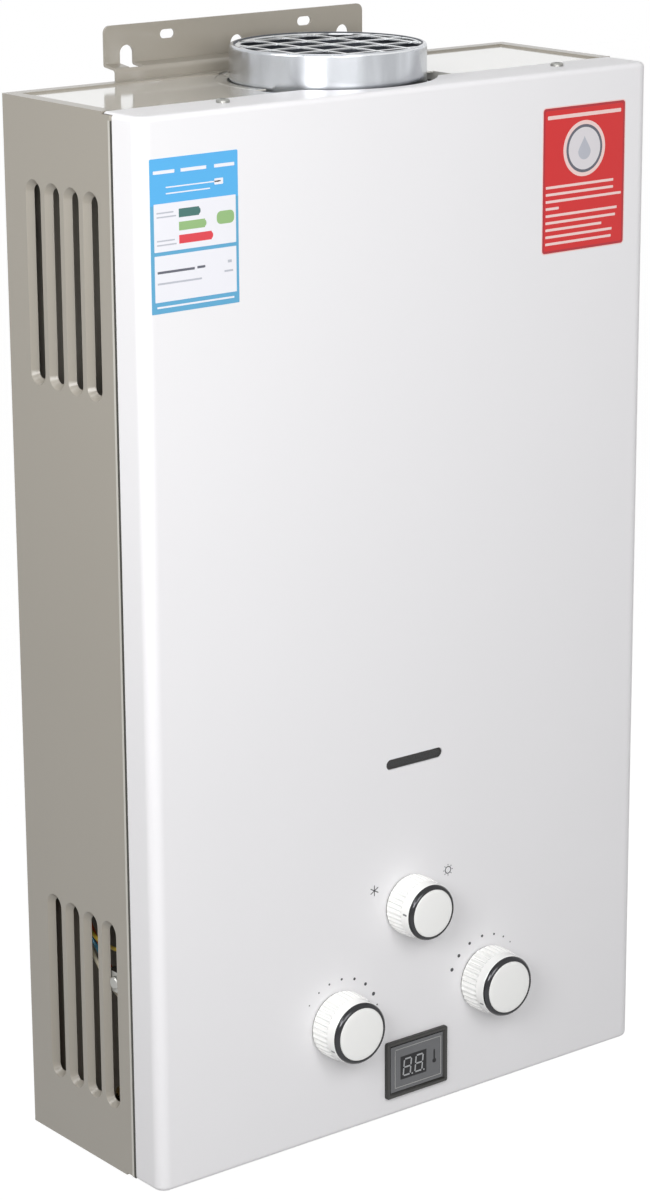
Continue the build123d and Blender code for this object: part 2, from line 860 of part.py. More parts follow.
with BuildPart() as thermostats:
    for height in (thermostat_low, thermostat_high):
        with BuildSketch(level_plane(height - strap_width / 2)):
            with Locations((hot_x, y_at(rod_depth))):
                Circle(hot_pipe_radius + running_gap + strap_thickness)
                Circle(hot_pipe_radius + running_gap, mode=Mode.SUBTRACT)
        extrude(amount=strap_width)
        with BuildSketch(front_plane(rod_depth + hot_pipe_radius + running_gap + strap_thickness / 2)):
            with Locations((hot_x, z_at(height))):
                Circle(thermostat_radius)
        extrude(amount=thermostat_thickness)
write_piece(thermostats, "thermostats")


# Pipe fittings


def pipe_fitting(x):
    """Union nut above a plain round tail with an open end, standing on the bottom panel."""
    with BuildPart() as fitting:
        with BuildSketch(level_plane(2 * sheet)):
            with Locations((x, y_at(rod_depth))):
                RegularPolygon(fitting_hex / 2, 6, major_radius=False, rotation=30)
        extrude(amount=fitting_hex_height)
        with BuildSketch(level_plane(2 * sheet + fitting_hex_height)):
            with Locations((x, y_at(rod_depth))):
                Circle(fitting_hex / 2)
        extrude(amount=fitting_shoulder)
        with BuildSketch(level_plane(-fitting_drop)):
            with Locations((x, y_at(rod_depth))):
                Circle(fitting_radius)
        extrude(amount=fitting_drop + 2 * sheet)
        with BuildSketch(level_plane(-fitting_drop)):
            with Locations((x, y_at(rod_depth))):
                Circle(fitting_bore)
        extrude(amount=fitting_drop + fitting_hex_height, mode=Mode.SUBTRACT)
    return fitting


for name, x in (("hot_outlet", hot_x), ("gas_inlet", gas_x), ("cold_inlet", water_x)):
    write_piece(pipe_fitting(x), f"{name}_fitting")


# Burner

frame_front = exchanger_front
bar_pitch = (jacket_width - 2 * bar_margin) / (bar_count - 1)
bar_places = [(i - (bar_count - 1) / 2) * bar_pitch for i in range(bar_count)]
bar_base = frame_base + bar_clear
bar_top = bar_base + bar_height

with BuildPart() as burner_frame:
    add(rimmed_duct(frame_base, jacket_base, (jacket_base - jacket_wall,)))
    with BuildSketch(front_plane(frame_front)):
        with Locations(*[(x, z_at(throat_level)) for x in bar_places]):
            Circle(throat_radius)
        with Locations(*[(x, z_at(electrode_level)) for x in (-electrode_spread, electrode_spread)]):
            Circle(electrode_radius + running_gap)
    extrude(amount=-jacket_wall, mode=Mode.SUBTRACT)
    for x in (bar_places[0], bar_places[-1]):
        with BuildSketch(level_plane(frame_base + ear_width / 2)):
            with Locations((x, y_at(exchanger_back))):
                Rectangle(jacket_wall, exchanger_back - sheet, align=(Align.CENTER, Align.MIN))
            with Locations((x, y_at(sheet))):
                Rectangle(ear_width, jacket_wall, align=(Align.CENTER, Align.MAX))
        extrude(amount=ear_width)
write_piece(burner_frame, "burner_frame")

bar_neck = throat_level + throat_radius + bar_clear
port_pitch = fin_depth / (port_count + 1)

with BuildPart() as burner_bars:
    for x in bar_places:
        with BuildSketch(front_plane(exchanger_back + jacket_wall)):
            with BuildLine():
                Polyline(
                    (x - bar_width / 2, z_at(bar_base)),
                    (x + bar_width / 2, z_at(bar_base)),
                    (x + bar_width / 2, z_at(bar_neck)),
                    (x + bar_top_width / 2, z_at(bar_neck + bar_top_width)),
                    (x + bar_top_width / 2, z_at(bar_top)),
                    (x - bar_top_width / 2, z_at(bar_top)),
                    (x - bar_top_width / 2, z_at(bar_neck + bar_top_width)),
                    (x - bar_width / 2, z_at(bar_neck)),
                    close=True,
                )
            make_face()
        extrude(amount=fin_depth)
    with BuildSketch(front_plane(exchanger_front - jacket_wall)):
        with Locations(*[(x, z_at(throat_level)) for x in bar_places]):
            Circle(throat_radius)
    extrude(amount=-3 * throat_radius, mode=Mode.SUBTRACT)
    with BuildSketch(level_plane(bar_top)):
        with Locations((0, y_at(flue_depth))):
            with GridLocations(bar_pitch, port_pitch, bar_count, port_count):
                Rectangle(port_length, port_width)
    extrude(amount=-port_depth, mode=Mode.SUBTRACT)
write_piece(burner_bars, "burner_bars")

manifold_back = frame_front + manifold_gap
manifold_half = bar_places[-1] + manifold_overhang
manifold_base = throat_level - manifold_height / 2
season_front = manifold_back + manifold_depth + spindle_boss / 2

with BuildPart() as gas_manifold:
    with BuildSketch(front_plane(manifold_back)):
        with Locations((0, z_at(throat_level))):
            Rectangle(2 * manifold_half, manifold_height)
        with Locations((season_x, z_at(season_level))):
            Rectangle(2 * outlet_radius, throat_level - season_level, align=(Align.CENTER, Align.MIN))
    extrude(amount=manifold_depth)
    with BuildSketch(front_plane(manifold_back)):
        with Locations((season_x, z_at(season_level))):
            Circle(boss_radius)
    extrude(amount=season_front - manifold_back)
    with BuildSketch(front_plane(frame_front)):
        with Locations(*[(side * (manifold_half - manifold_ear / 2), z_at(throat_level)) for side in (-1, 1)]):
            Rectangle(manifold_ear, manifold_height)
    extrude(amount=manifold_gap)
    with BuildSketch(front_plane(season_front)):
        with Locations((season_x, z_at(season_level))):
            Circle(spindle_radius + running_gap)
    extrude(amount=-manifold_depth, mode=Mode.SUBTRACT)
write_piece(gas_manifold, "gas_manifold")

with BuildPart() as gas_nozzles:
    with BuildSketch(front_plane(manifold_back)):
        with Locations(*[(x, z_at(throat_level)) for x in bar_places]):
            RegularPolygon(nozzle_hex, 6)
    extrude(amount=-manifold_gap + seat_gap)
    with BuildSketch(front_plane(manifold_back)):
        with Locations(*[(x, z_at(throat_level)) for x in bar_places]):
            Circle(nozzle_radius)
    extrude(amount=-nozzle_length)
write_piece(gas_nozzles, "gas_nozzles")

brace_half = tab_face - brace_sheet
brace_step = exchanger_half + sheet

with BuildPart() as burner_bracket:
    with BuildSketch(front_plane(brace_depth)):
        with BuildLine():
            Polyline(
                (-brace_half, z_at(brace_level)),
                (brace_half, z_at(brace_level)),
                (brace_half, z_at(brace_level + brace_height)),
                (brace_step + brace_shoulder, z_at(brace_level + brace_height)),
                (brace_step, z_at(frame_base)),
                (-brace_step, z_at(frame_base)),
                (-brace_step - brace_shoulder, z_at(brace_level + brace_height)),
                (-brace_half, z_at(brace_level + brace_height)),
                close=True,
            )
        make_face()
    extrude(amount=brace_sheet)
    for side in (-1, 1):
        with BuildSketch(level_plane(brace_level)):
            with Locations((side * (tab_face - brace_sheet / 2), y_at(brace_depth))):
                Rectangle(brace_sheet, brace_tab, align=(Align.CENTER, Align.MAX))
        extrude(amount=brace_height)
    with BuildSketch(Plane.YZ.offset(-tab_face)):
        with Locations((y_at(louvre_depths[-1]), z_at(brace_level + brace_height / 2))):
            Circle(screw_radius + running_gap)
    extrude(amount=2 * tab_face, mode=Mode.SUBTRACT)
write_piece(burner_bracket, "burner_bracket")


# Gas valve

valve_top = valve_base + valve_height
valve_front = valve_back + valve_depth
valve_right = gas_x + valve_width / 2
valve_left = gas_x - valve_width / 2
boss_front = valve_front + spindle_boss
outlet_top = valve_top + outlet_rise
switch_back = rod_depth - switch_depth / 2
lever_pivot = knob_level + rod_collar + lever_arm
switch_base = lever_pivot + lever_eye + seat_gap
lever_x = rod_collar_x - seat_gap - lever_thickness / 2

with BuildPart() as gas_valve_body:
    with BuildSketch(level_plane(valve_base)):
        with Locations((gas_x, y_at(valve_back + valve_depth / 2))):
            RectangleRounded(valve_width, valve_depth, valve_corner)
    extrude(amount=valve_height)
    fillet(gas_valve_body.faces().sort_by(Axis.Z)[-1].edges(), radius=valve_corner / 4)
    with BuildSketch(front_plane(valve_front)):
        with Locations((gas_x, z_at(knob_level))):
            Circle(boss_radius)
    extrude(amount=spindle_boss)
    with BuildSketch(level_plane(fitting_top)):
        with Locations((gas_x, y_at(rod_depth))):
            Circle(fitting_hex / 2)
    extrude(amount=valve_base - fitting_top)
    with BuildSketch(level_plane(valve_top)):
        with Locations((gas_x, y_at(outlet_depth))):
            Circle(outlet_radius)
    extrude(amount=outlet_rise)
    with BuildSketch(front_plane(switch_back)):
        with Locations((valve_right, z_at(valve_top))):
            Rectangle(2 * lug_reach, lug_height, align=(Align.CENTER, Align.CENTER))
    extrude(amount=-lug_thickness)
    with BuildSketch(front_plane(boss_front)):
        with Locations((gas_x, z_at(knob_level))):
            Circle(spindle_radius + running_gap)
    extrude(amount=-bore_depth, mode=Mode.SUBTRACT)
    with BuildSketch(Plane.YZ.offset(valve_right)):
        with Locations((y_at(rod_depth), z_at(knob_level))):
            Circle(rod_radius + running_gap)
    extrude(amount=rod_left - 2 * rod_travel - valve_right, mode=Mode.SUBTRACT)
write_piece(gas_valve_body, "gas_valve_body")

with BuildPart() as gas_solenoid:
    with BuildSketch(Plane.YZ.offset(valve_left)):
        with Locations((y_at(rod_depth), z_at(knob_level))):
            Circle(coil_body)
    extrude(amount=-coil_room)
    for offset_x in (coil_flange_length, coil_room):
        with BuildSketch(Plane.YZ.offset(valve_left - offset_x)):
            with Locations((y_at(rod_depth), z_at(knob_level))):
                Circle(coil_flange)
        extrude(amount=coil_flange_length)
write_piece(gas_solenoid, "gas_solenoid")

feed_front = manifold_back + manifold_depth / 2
gas_feed_pipe = bent_tube(
    [
        (gas_x, outlet_depth, outlet_top),
        (gas_x, outlet_depth, outlet_top + 2 * feed_radius),
        (gas_x, feed_front, manifold_base - 2 * feed_radius),
        (gas_x, feed_front, manifold_base),
    ],
    2 * feed_radius,
    feed_radius,
)
write_piece(gas_feed_pipe, "gas_feed_pipe")


# Water valve

diaphragm_x = cover_x + disc_thickness
disc_x = diaphragm_x + diaphragm_thickness
body_x = disc_x + disc_body
outlet_x = body_x + water_body_length
axis_place = (y_at(rod_depth), z_at(knob_level))
valve_screw_places = [
    (
        axis_place[0] + valve_screw_circle * cos(2 * pi * i / valve_screw_count),
        axis_place[1] + valve_screw_circle * sin(2 * pi * i / valve_screw_count),
    )
    for i in range(valve_screw_count)
]


def disc(x, thickness, radius, guide):
    """Flange disc across X with the valve's screw holes and, where asked, a guide bore for the push rod."""
    with BuildPart() as plate:
        with BuildSketch(Plane.YZ.offset(x)):
            with Locations(axis_place):
                Circle(radius)
            with Locations(*valve_screw_places):
                Circle(valve_screw_radius + running_gap, mode=Mode.SUBTRACT)
            if guide:
                with Locations(axis_place):
                    Circle(guide, mode=Mode.SUBTRACT)
        extrude(amount=thickness)
    return plate.part


with BuildPart() as diaphragm_cover:
    add(disc(cover_x, disc_thickness, disc_radius, rod_radius + running_gap))
    with BuildSketch(Plane.YZ.offset(cover_x)):
        with Locations(axis_place):
            Circle(guide_radius)
            Circle(rod_radius + running_gap, mode=Mode.SUBTRACT)
    extrude(amount=-guide_length)
write_piece(diaphragm_cover, "diaphragm_cover")

with BuildPart() as diaphragm:
    add(disc(diaphragm_x, diaphragm_thickness, disc_radius - valve_screw_radius, 0))
write_piece(diaphragm, "diaphragm")

with BuildPart() as water_valve_body:
    add(disc(disc_x, disc_body, disc_radius, 0))
    with BuildSketch(Plane.YZ.offset(body_x)):
        with Locations(axis_place):
            Circle(water_body_radius)
    extrude(amount=water_body_length)
    with BuildSketch(Plane.YZ.offset(outlet_x)):
        with Locations(axis_place):
            Circle(outlet_boss)
    extrude(amount=outlet_boss_length)
    with BuildSketch(front_plane(rod_depth)):
        with Locations((water_x, z_at(knob_level))):
            Circle(boss_radius)
    extrude(amount=boss_front - rod_depth)
    with BuildSketch(level_plane(fitting_top)):
        with Locations((water_x, y_at(rod_depth))):
            Circle(fitting_hex / 2)
    extrude(amount=knob_level - fitting_top)
    with BuildSketch(front_plane(boss_front)):
        with Locations((water_x, z_at(knob_level))):
            Circle(spindle_radius + running_gap)
    extrude(amount=-bore_depth, mode=Mode.SUBTRACT)
write_piece(water_valve_body, "water_valve_body")

with BuildPart() as valve_screws:
    with BuildSketch(Plane.YZ.offset(cover_x)):
        with Locations(*valve_screw_places):
            Circle(valve_screw_head)
    extrude(amount=-valve_screw_head_height)
    with BuildSketch(Plane.YZ.offset(cover_x)):
        with Locations(*valve_screw_places):
            Circle(valve_screw_radius)
    extrude(amount=disc_thickness + diaphragm_thickness + disc_body)
write_piece(valve_screws, "valve_screws")

with BuildPart() as push_rod:
    with BuildSketch(Plane.YZ.offset(rod_left)):
        with Locations(axis_place):
            Circle(rod_radius)
    extrude(amount=diaphragm_x - seat_gap - rod_left)
    with BuildSketch(Plane.YZ.offset(rod_collar_x)):
        with Locations(axis_place):
            Circle(rod_collar)
    extrude(amount=rod_collar_length)
write_piece(push_rod, "push_rod")

with BuildPart() as microswitch:
    with BuildSketch(front_plane(switch_back)):
        with Locations((lever_x - switch_width / 4, z_at(switch_base))):
            Rectangle(switch_width, switch_height, align=(Align.CENTER, Align.MIN))
    extrude(amount=switch_depth)
    for depth in (switch_back, switch_back + switch_depth - switch_ear):
        with BuildSketch(front_plane(depth)):
            with Locations((lever_x, z_at(lever_pivot))):
                Circle(lever_eye)
                Rectangle(2 * lever_eye, switch_base - lever_pivot, align=(Align.CENTER, Align.MIN))
        extrude(amount=switch_ear)
    with BuildSketch(front_plane(switch_back)):
        with Locations((lever_x, z_at(lever_pivot))):
            Circle(lever_pin)
    extrude(amount=switch_depth)
write_piece(microswitch, "microswitch")

with BuildPart() as microswitch_lever:
    with BuildSketch(front_plane(rod_depth - lever_width / 2)):
        with Locations((lever_x, z_at(lever_pivot))):
            Circle(lever_eye)
            Rectangle(lever_thickness, lever_arm + lever_overlap, align=(Align.CENTER, Align.MAX))
            Circle(lever_pin + running_gap, mode=Mode.SUBTRACT)
    extrude(amount=lever_width)
write_piece(microswitch_lever, "microswitch_lever")

drain_top = knob_level - disc_radius

with BuildPart() as drain_valve:
    with BuildSketch(level_plane(-drain_reach)):
        with Locations((drain_x, y_at(rod_depth))):
            Circle(drain_radius)
    extrude(amount=drain_reach + drain_top)
    with BuildSketch(level_plane(-drain_reach)):
        with Locations((drain_x, y_at(rod_depth))):
            Circle(drain_stem)
    extrude(amount=-drain_stem_length)
write_piece(drain_valve, "drain_valve")

drain_knob_top = -drain_reach - seat_gap

with BuildPart() as drain_knob:
    with BuildSketch(level_plane(drain_knob_top)):
        with Locations((drain_x, y_at(rod_depth))):
            Circle(drain_knob_radius)
            with PolarLocations(drain_knob_radius, drain_grips):
                Circle(drain_stem / 2, mode=Mode.SUBTRACT)
    extrude(amount=-drain_knob_height)
    with BuildSketch(level_plane(drain_knob_top)):
        with Locations((drain_x, y_at(rod_depth))):
            Circle(drain_stem + running_gap)
    extrude(amount=-drain_stem_length, mode=Mode.SUBTRACT)
write_piece(drain_knob, "drain_knob")


# Knobs

knob_back = case_depth + knob_gap
knob_face = case_depth + knob_reach


def flute_points(x, height, radius):
    """Corners of a zigzag outline round a knob's axis."""
    steps = 2 * flute_count
    radii = [radius, radius - flute_depth]
    return [
        (x + radii[i % 2] * cos(2 * pi * i / steps), z_at(height) + radii[i % 2] * sin(2 * pi * i / steps))
        for i in range(steps)
    ]


def turned(x, height, profile):
    """Solid of revolution about a knob's axis. The profile holds radius and depth."""
    with BuildPart() as piece:
        with BuildSketch(Plane.XY):
            with BuildLine():
                Polyline(*profile, close=True)
            make_face()
        revolve(axis=Axis.Y)
    place = Location((x, -wall_gap, z_at(height)), (180, 0, 0))
    piece.part = piece.part.moved(place)
    return piece


def make_knob(name, x, height, radius, spindle_back):
    neck = radius * 0.95
    ring_inner = radius * 0.82
    skirt_front = knob_back + skirt_length
    ring_back = knob_face - (knob_reach - skirt_length) / 2
    with BuildPart() as skirt:
        with BuildSketch(front_plane(knob_back)):
            with BuildLine():
                Polyline(*flute_points(x, height, radius), close=True)
            make_face()
        with BuildSketch(front_plane(skirt_front)):
            with BuildLine():
                Polyline(*flute_points(x, height, neck + flute_depth / 2), close=True)
            make_face()
        loft(ruled=True)
        with BuildSketch(front_plane(skirt_front)):
            with Locations((x, z_at(height))):
                Circle(neck)
        extrude(amount=ring_back - skirt_front)
        with BuildSketch(front_plane(knob_back)):
            with Locations((x, z_at(height))):
                Circle(neck - flute_depth - knob_wall)
                Circle(hub_radius, mode=Mode.SUBTRACT)
        extrude(amount=ring_back - knob_back - knob_wall, mode=Mode.SUBTRACT)
        with BuildSketch(front_plane(knob_back)):
            with Locations((x, z_at(height))):
                Circle(spindle_radius + running_gap)
        extrude(amount=socket_length, mode=Mode.SUBTRACT)
    write_piece(skirt, f"{name}_knob")
    ring = turned(x, height, [
        (ring_inner, ring_back),
        (neck, ring_back),
        (neck, ring_back + knob_wall / 2),
        (ring_inner + knob_wall / 4, knob_face),
        (ring_inner, knob_face),
    ])
    write_piece(ring, f"{name}_knob_ring")
    cap_edge = ring_inner - running_gap
    cap = turned(x, height, [
        (0, ring_back),
        (cap_edge, ring_back),
        (cap_edge, knob_face - cap_dome),
        (cap_edge * 0.9, knob_face - cap_dome / 3),
        (cap_edge * 0.5, knob_face + cap_dome / 3),
        (0, knob_face + cap_dome / 2),
    ])
    write_piece(cap, f"{name}_knob_cap")
    with BuildPart() as spindle:
        with BuildSketch(front_plane(spindle_back)):
            with Locations((x, z_at(height))):
                Circle(spindle_radius)
        extrude(amount=knob_back + socket_length - seat_gap - spindle_back)
    write_piece(spindle, f"{name}_spindle")


make_knob("gas", gas_x, knob_level, knob_radius, boss_front - spindle_seat)
make_knob("water", water_x, knob_level, knob_radius, boss_front - spindle_seat)
make_knob("season", season_x, season_level, season_radius, season_front - manifold_depth + seat_gap)


# Display and window

module_front = case_depth - display_set_back
lens_width = bezel_width - 2 * bezel_border
lens_height = bezel_height - 2 * bezel_border
snout_width = bezel_width - 2 * bezel_lip - 2 * seat_gap
snout_height = bezel_height - 2 * bezel_lip - 2 * seat_gap

with BuildPart() as display_bezel:
    with BuildSketch(front_plane(case_depth)):
        with Locations((display_x, z_at(display_level))):
            RectangleRounded(bezel_width, bezel_height, bezel_corner)
    extrude(amount=bezel_proud)
    fillet(display_bezel.faces().sort_by(Axis.Y)[0].edges(), radius=bezel_corner / 2)
    with BuildSketch(front_plane(module_front)):
        with Locations((display_x, z_at(display_level))):
            Rectangle(snout_width, snout_height)
    extrude(amount=display_set_back)
    with BuildSketch(front_plane(module_front)):
        with Locations((display_x, z_at(display_level))):
            Rectangle(lens_width, lens_height)
    extrude(amount=display_set_back + bezel_proud, mode=Mode.SUBTRACT)
    with BuildSketch(front_plane(case_depth)):
        with Locations((display_x, z_at(display_level))):
            Rectangle(lens_width, lens_height)
    with BuildSketch(front_plane(case_depth + bezel_proud)):
        with Locations((display_x, z_at(display_level))):
            Rectangle(lens_width + 2 * bezel_bevel, lens_height + 2 * bezel_bevel)
    loft(mode=Mode.SUBTRACT)
write_piece(display_bezel, "display_bezel")

with BuildPart() as display_lens:
    with BuildSketch(front_plane(module_front)):
        with Locations((display_x, z_at(display_level))):
            Rectangle(lens_width - 2 * running_gap, lens_height - 2 * running_gap)
    extrude(amount=display_set_back)
write_piece(display_lens, "display_lens")

with BuildPart() as display_module:
    with BuildSketch(front_plane(module_front)):
        with Locations((display_x, z_at(display_level))):
            Rectangle(bezel_width, bezel_height)
            Rectangle(snout_width, snout_height)
    extrude(amount=-module_depth)
write_piece(display_module, "display_module")

with BuildPart() as window_glass:
    with BuildSketch(front_plane(case_depth - sheet)):
        with Locations((window_x, z_at(window_level))):
            SlotOverall(window_length + 2 * window_flange, window_height + 2 * window_flange)
    extrude(amount=-window_thickness)
    with BuildSketch(front_plane(case_depth - sheet)):
        with Locations((window_x, z_at(window_level))):
            SlotOverall(window_length - 2 * seat_gap, window_height - 2 * seat_gap)
    extrude(amount=sheet / 2)
write_piece(window_glass, "window_glass")


# Ignition

electrode_back = exchanger_front - electrode_inside
electrode_ends = exchanger_front + electrode_front

with BuildPart() as electrodes:
    for x in (-electrode_spread, electrode_spread):
        for depth, length, radius in (
            (electrode_back, electrode_ends - electrode_back, electrode_radius),
            (exchanger_front, electrode_flange_thickness, electrode_flange),
            (electrode_back - tip_length, tip_length, tip_radius),
        ):
            with BuildSketch(front_plane(depth)):
                with Locations((x, z_at(electrode_level))):
                    Circle(radius)
            extrude(amount=length)
write_piece(electrodes, "electrodes")

controller_x = -inner_half + controller_width / 2

with BuildPart() as ignition_controller:
    with BuildSketch(level_plane(controller_base)):
        with Locations((controller_x, y_at(controller_back + controller_depth / 2))):
            RectangleRounded(controller_width, controller_depth, controller_corner)
    extrude(amount=controller_height)
write_piece(ignition_controller, "ignition_controller")


# Battery box

with BuildPart() as battery_box:
    with BuildSketch(level_plane(2 * sheet)):
        with Locations((battery_x, y_at(box_centre))):
            Rectangle(box_width, box_depth)
    extrude(amount=box_inner_height)
    with BuildSketch(level_plane(2 * sheet)):
        with Locations((battery_x, y_at(box_centre))):
            Rectangle(box_inner_width, box_inner_depth)
    extrude(amount=box_inner_height - box_wall, mode=Mode.SUBTRACT)
write_piece(battery_box, "battery_box")

door_top = sheet - seat_gap
cell_level = door_top + seat_gap + cell_radius
cell_places = [(battery_x + side * (cell_radius + seat_gap / 2), z_at(cell_level)) for side in (-1, 1)]
cell_front = box_centre + cell_length / 2

with BuildPart() as batteries:
    with BuildSketch(front_plane(cell_front - cell_length)):
        with Locations(*cell_places):
            Circle(cell_radius)
    extrude(amount=cell_length - cell_button_height)
    with BuildSketch(front_plane(cell_front - cell_button_height)):
        with Locations(*cell_places):
            Circle(cell_button)
    extrude(amount=cell_button_height)
write_piece(batteries, "batteries")

box_inner_back = box_centre - box_inner_depth / 2
box_inner_front = box_centre + box_inner_depth / 2

with BuildPart() as battery_contacts:
    for wall, end in ((box_inner_back, cell_front - cell_length), (box_inner_front, cell_front)):
        way = 1 if end > wall else -1
        with BuildSketch(front_plane(wall)):
            with Locations(*cell_places):
                RectangleRounded(contact_width, contact_width, cell_button)
        extrude(amount=way * contact_thickness)
        with BuildSketch(front_plane(wall)):
            with Locations(*cell_places):
                Circle(cell_button)
        extrude(amount=end - wall)
write_piece(battery_contacts, "battery_contacts")

door_width = box_inner_width + 2 * door_border

with BuildPart() as battery_door:
    with BuildSketch(level_plane(door_top)):
        with Locations((battery_x, y_at(box_back))):
            Rectangle(door_width, box_depth, align=(Align.CENTER, Align.MAX))
        with Locations(*[(battery_x + side * hinge_spread, y_at(hinge_depth)) for side in (-1, 1)]):
            Rectangle(knuckle_length, hinge_gap, align=(Align.CENTER, Align.MAX))
    extrude(amount=-door_thickness)
    for side in (-1, 1):
        with BuildSketch(Plane.YZ.offset(battery_x + side * hinge_spread - knuckle_length / 2)):
            with Locations((y_at(hinge_depth), z_at(hinge_level))):
                Circle(knuckle_radius)
        extrude(amount=knuckle_length)
    with BuildSketch(Plane.YZ.offset(battery_x - door_width)):
        with Locations((y_at(hinge_depth), z_at(hinge_level))):
            Circle(hinge_pin + running_gap)
    extrude(amount=2 * door_width, mode=Mode.SUBTRACT)
write_piece(battery_door, "battery_door")

pin_half = hinge_spread + ear_gap + knuckle_length / 2

with BuildPart() as battery_hinge_pin:
    with BuildSketch(Plane.YZ.offset(battery_x - pin_half)):
        with Locations((y_at(hinge_depth), z_at(hinge_level))):
            Circle(hinge_pin)
    extrude(amount=2 * pin_half)
write_piece(battery_hinge_pin, "battery_hinge_pin")


# Wires

valve_route = [
    (-158, 26, 150), (-158, 26, 136), (-162, 46, 122), (-162, 68, 103), (-146, 82, 96),
    (-118, 76, 96), (-93, 60, 100), (-93, 60, 79.8),
]
switch_route = [
    (-154, 26, 150), (-154, 26, 134), (-157, 46, 115), (-157, 70, 95), (-138, 86, 90),
    (-108, 84, 96), (-80, 68, 99), (-48, 56, 108), (-14, 60, 122), (-14, 60, 98.9),
]
display_route = [
    (-162, 34, 150), (-162, 34, 134), (-166, 50, 118), (-166, 70, 100), (-154, 88, 84),
    (-120, 100, 62), (-76, 105, 40), (-30, 98, 30), (-6, 98, 29), (-6, 111.5, 29),
]
battery_route = [
    (-150, 16, 150), (-150, 16, 130), (-118, 8, 116), (-66, 6, 112), (-14, 6, 110), (40, 6, 106),
    (86, 8, 90), (110, 18, 62), (120, 40, 56), (120, 40, 38),
]
spark_route = [
    (-156, 46, 206), (-156, 68, 206), (-152, 90, 202), (-124, 110, 196), (-84, 117, 190), (-36, 119, 194),
    (-36, 107, 194),
]
flame_route = [
    (-156, 46, 198), (-156, 68, 198), (-150, 92, 194), (-122, 112, 186), (-76, 117, 180), (-26, 118, 178),
    (36, 119, 194), (36, 107, 194),
]
limit_route = [
    (-166, 40, 150), (-166, 40, 138), (-166, 54, 126), (-164, 78, 124), (-142, 90, 124), (-142, 72.65, 124),
]


def follow(value, landmarks):
    """Where a place drawn for the standard case goes once the pieces beside it have moved."""
    for (low, new_low), (high, new_high) in zip(landmarks, landmarks[1:]):
        if value <= high:
            return new_low + (value - low) * (new_high - new_low) / (high - low)


def soft_bends(route):
    """Radius for each corner of a route, as large as the shorter of its two runs allows."""
    corners = [Vector(*place) for place in route]
    bends = []
    for before, here, after in zip(corners, corners[1:], corners[2:]):
        turn = radians((here - before).get_angle(after - here))
        run = min((here - before).length, (after - here).length)
        bends.append(wire_softness * run / tan(turn / 2))
    return bends


wire_routes = (
    valve_route, switch_route, display_route, battery_route, spark_route, flame_route, limit_route
)
drawn_across = (-174, -149, -108, -78, -23, 93, 174)
now_across = (
    -inner_half, hot_x - hot_pipe_radius, valve_left - coil_room, valve_left, valve_right,
    battery_x - box_width / 2, inner_half,
)
drawn_forward = (0, 60, 75, 97, 126)
now_forward = (0, rod_depth, rod_depth + 2 * hot_pipe_radius + sheet, exchanger_front, case_depth)
across = list(zip(drawn_across, now_across))
forward = list(zip(drawn_forward, now_forward))
fitted_routes = [
    [(follow(x, across), follow(depth, forward), height) for x, depth, height in route]
    for route in wire_routes
]
wires = [bent_tube(route, soft_bends(route), wire_radius).part for route in fitted_routes]

with BuildPart() as wiring_harness:
    for wire in wires:
        add(wire)
write_piece(wiring_harness, "wiring_harness")
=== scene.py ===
# %% [markdown]
# # A wall-hung gas water heater
# The heater is a folded steel case with a flue collar on top, louvred sides, three turning knobs, a
# small display and a burner and exchanger inside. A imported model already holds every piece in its
# place. This lesson dresses it: finishes for the metal and plastic, and finer pieces where a knob,
# a sticker or a display needs more than plain solids. Everything is in metres, with +Z up, the
# wall at Y = 0 and the front towards -Y.

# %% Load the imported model
import json
from math import cos, pi, radians, sin

import bpy
from mathutils import Matrix, Vector


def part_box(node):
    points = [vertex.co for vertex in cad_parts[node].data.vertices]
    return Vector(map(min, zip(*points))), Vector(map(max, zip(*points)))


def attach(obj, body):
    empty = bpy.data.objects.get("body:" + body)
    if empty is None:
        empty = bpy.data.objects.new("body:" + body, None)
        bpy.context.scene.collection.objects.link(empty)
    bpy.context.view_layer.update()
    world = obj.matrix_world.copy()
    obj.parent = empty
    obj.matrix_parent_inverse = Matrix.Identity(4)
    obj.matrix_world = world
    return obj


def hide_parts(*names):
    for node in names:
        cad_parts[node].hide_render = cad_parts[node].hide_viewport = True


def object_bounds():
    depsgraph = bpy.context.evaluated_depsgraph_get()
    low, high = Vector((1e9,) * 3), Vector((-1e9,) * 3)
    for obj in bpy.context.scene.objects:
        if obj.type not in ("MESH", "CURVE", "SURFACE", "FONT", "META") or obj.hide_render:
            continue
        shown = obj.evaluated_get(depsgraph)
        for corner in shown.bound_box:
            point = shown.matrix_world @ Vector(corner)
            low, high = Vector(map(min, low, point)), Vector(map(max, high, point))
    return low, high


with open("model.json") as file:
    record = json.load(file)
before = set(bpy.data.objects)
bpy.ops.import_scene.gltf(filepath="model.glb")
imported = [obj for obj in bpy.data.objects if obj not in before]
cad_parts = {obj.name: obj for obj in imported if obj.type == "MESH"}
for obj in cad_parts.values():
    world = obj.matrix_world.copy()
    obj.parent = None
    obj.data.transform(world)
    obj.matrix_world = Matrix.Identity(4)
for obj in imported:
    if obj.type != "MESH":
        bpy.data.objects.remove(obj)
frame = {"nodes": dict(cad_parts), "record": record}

nodes = frame["nodes"]
scene = bpy.context.scene
case_box = [list(corner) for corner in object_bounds()]
MM = 0.001
print("CAD nodes:", len(nodes), "box:", case_box)

# %% [markdown]
# ## The camera
# The photograph was taken from the front left, a little above the heater, through a long lens.
# Lining up the case's corners gave the camera's place, its turn and its lens. Building its matrix
# from one turn after another keeps each angle readable.

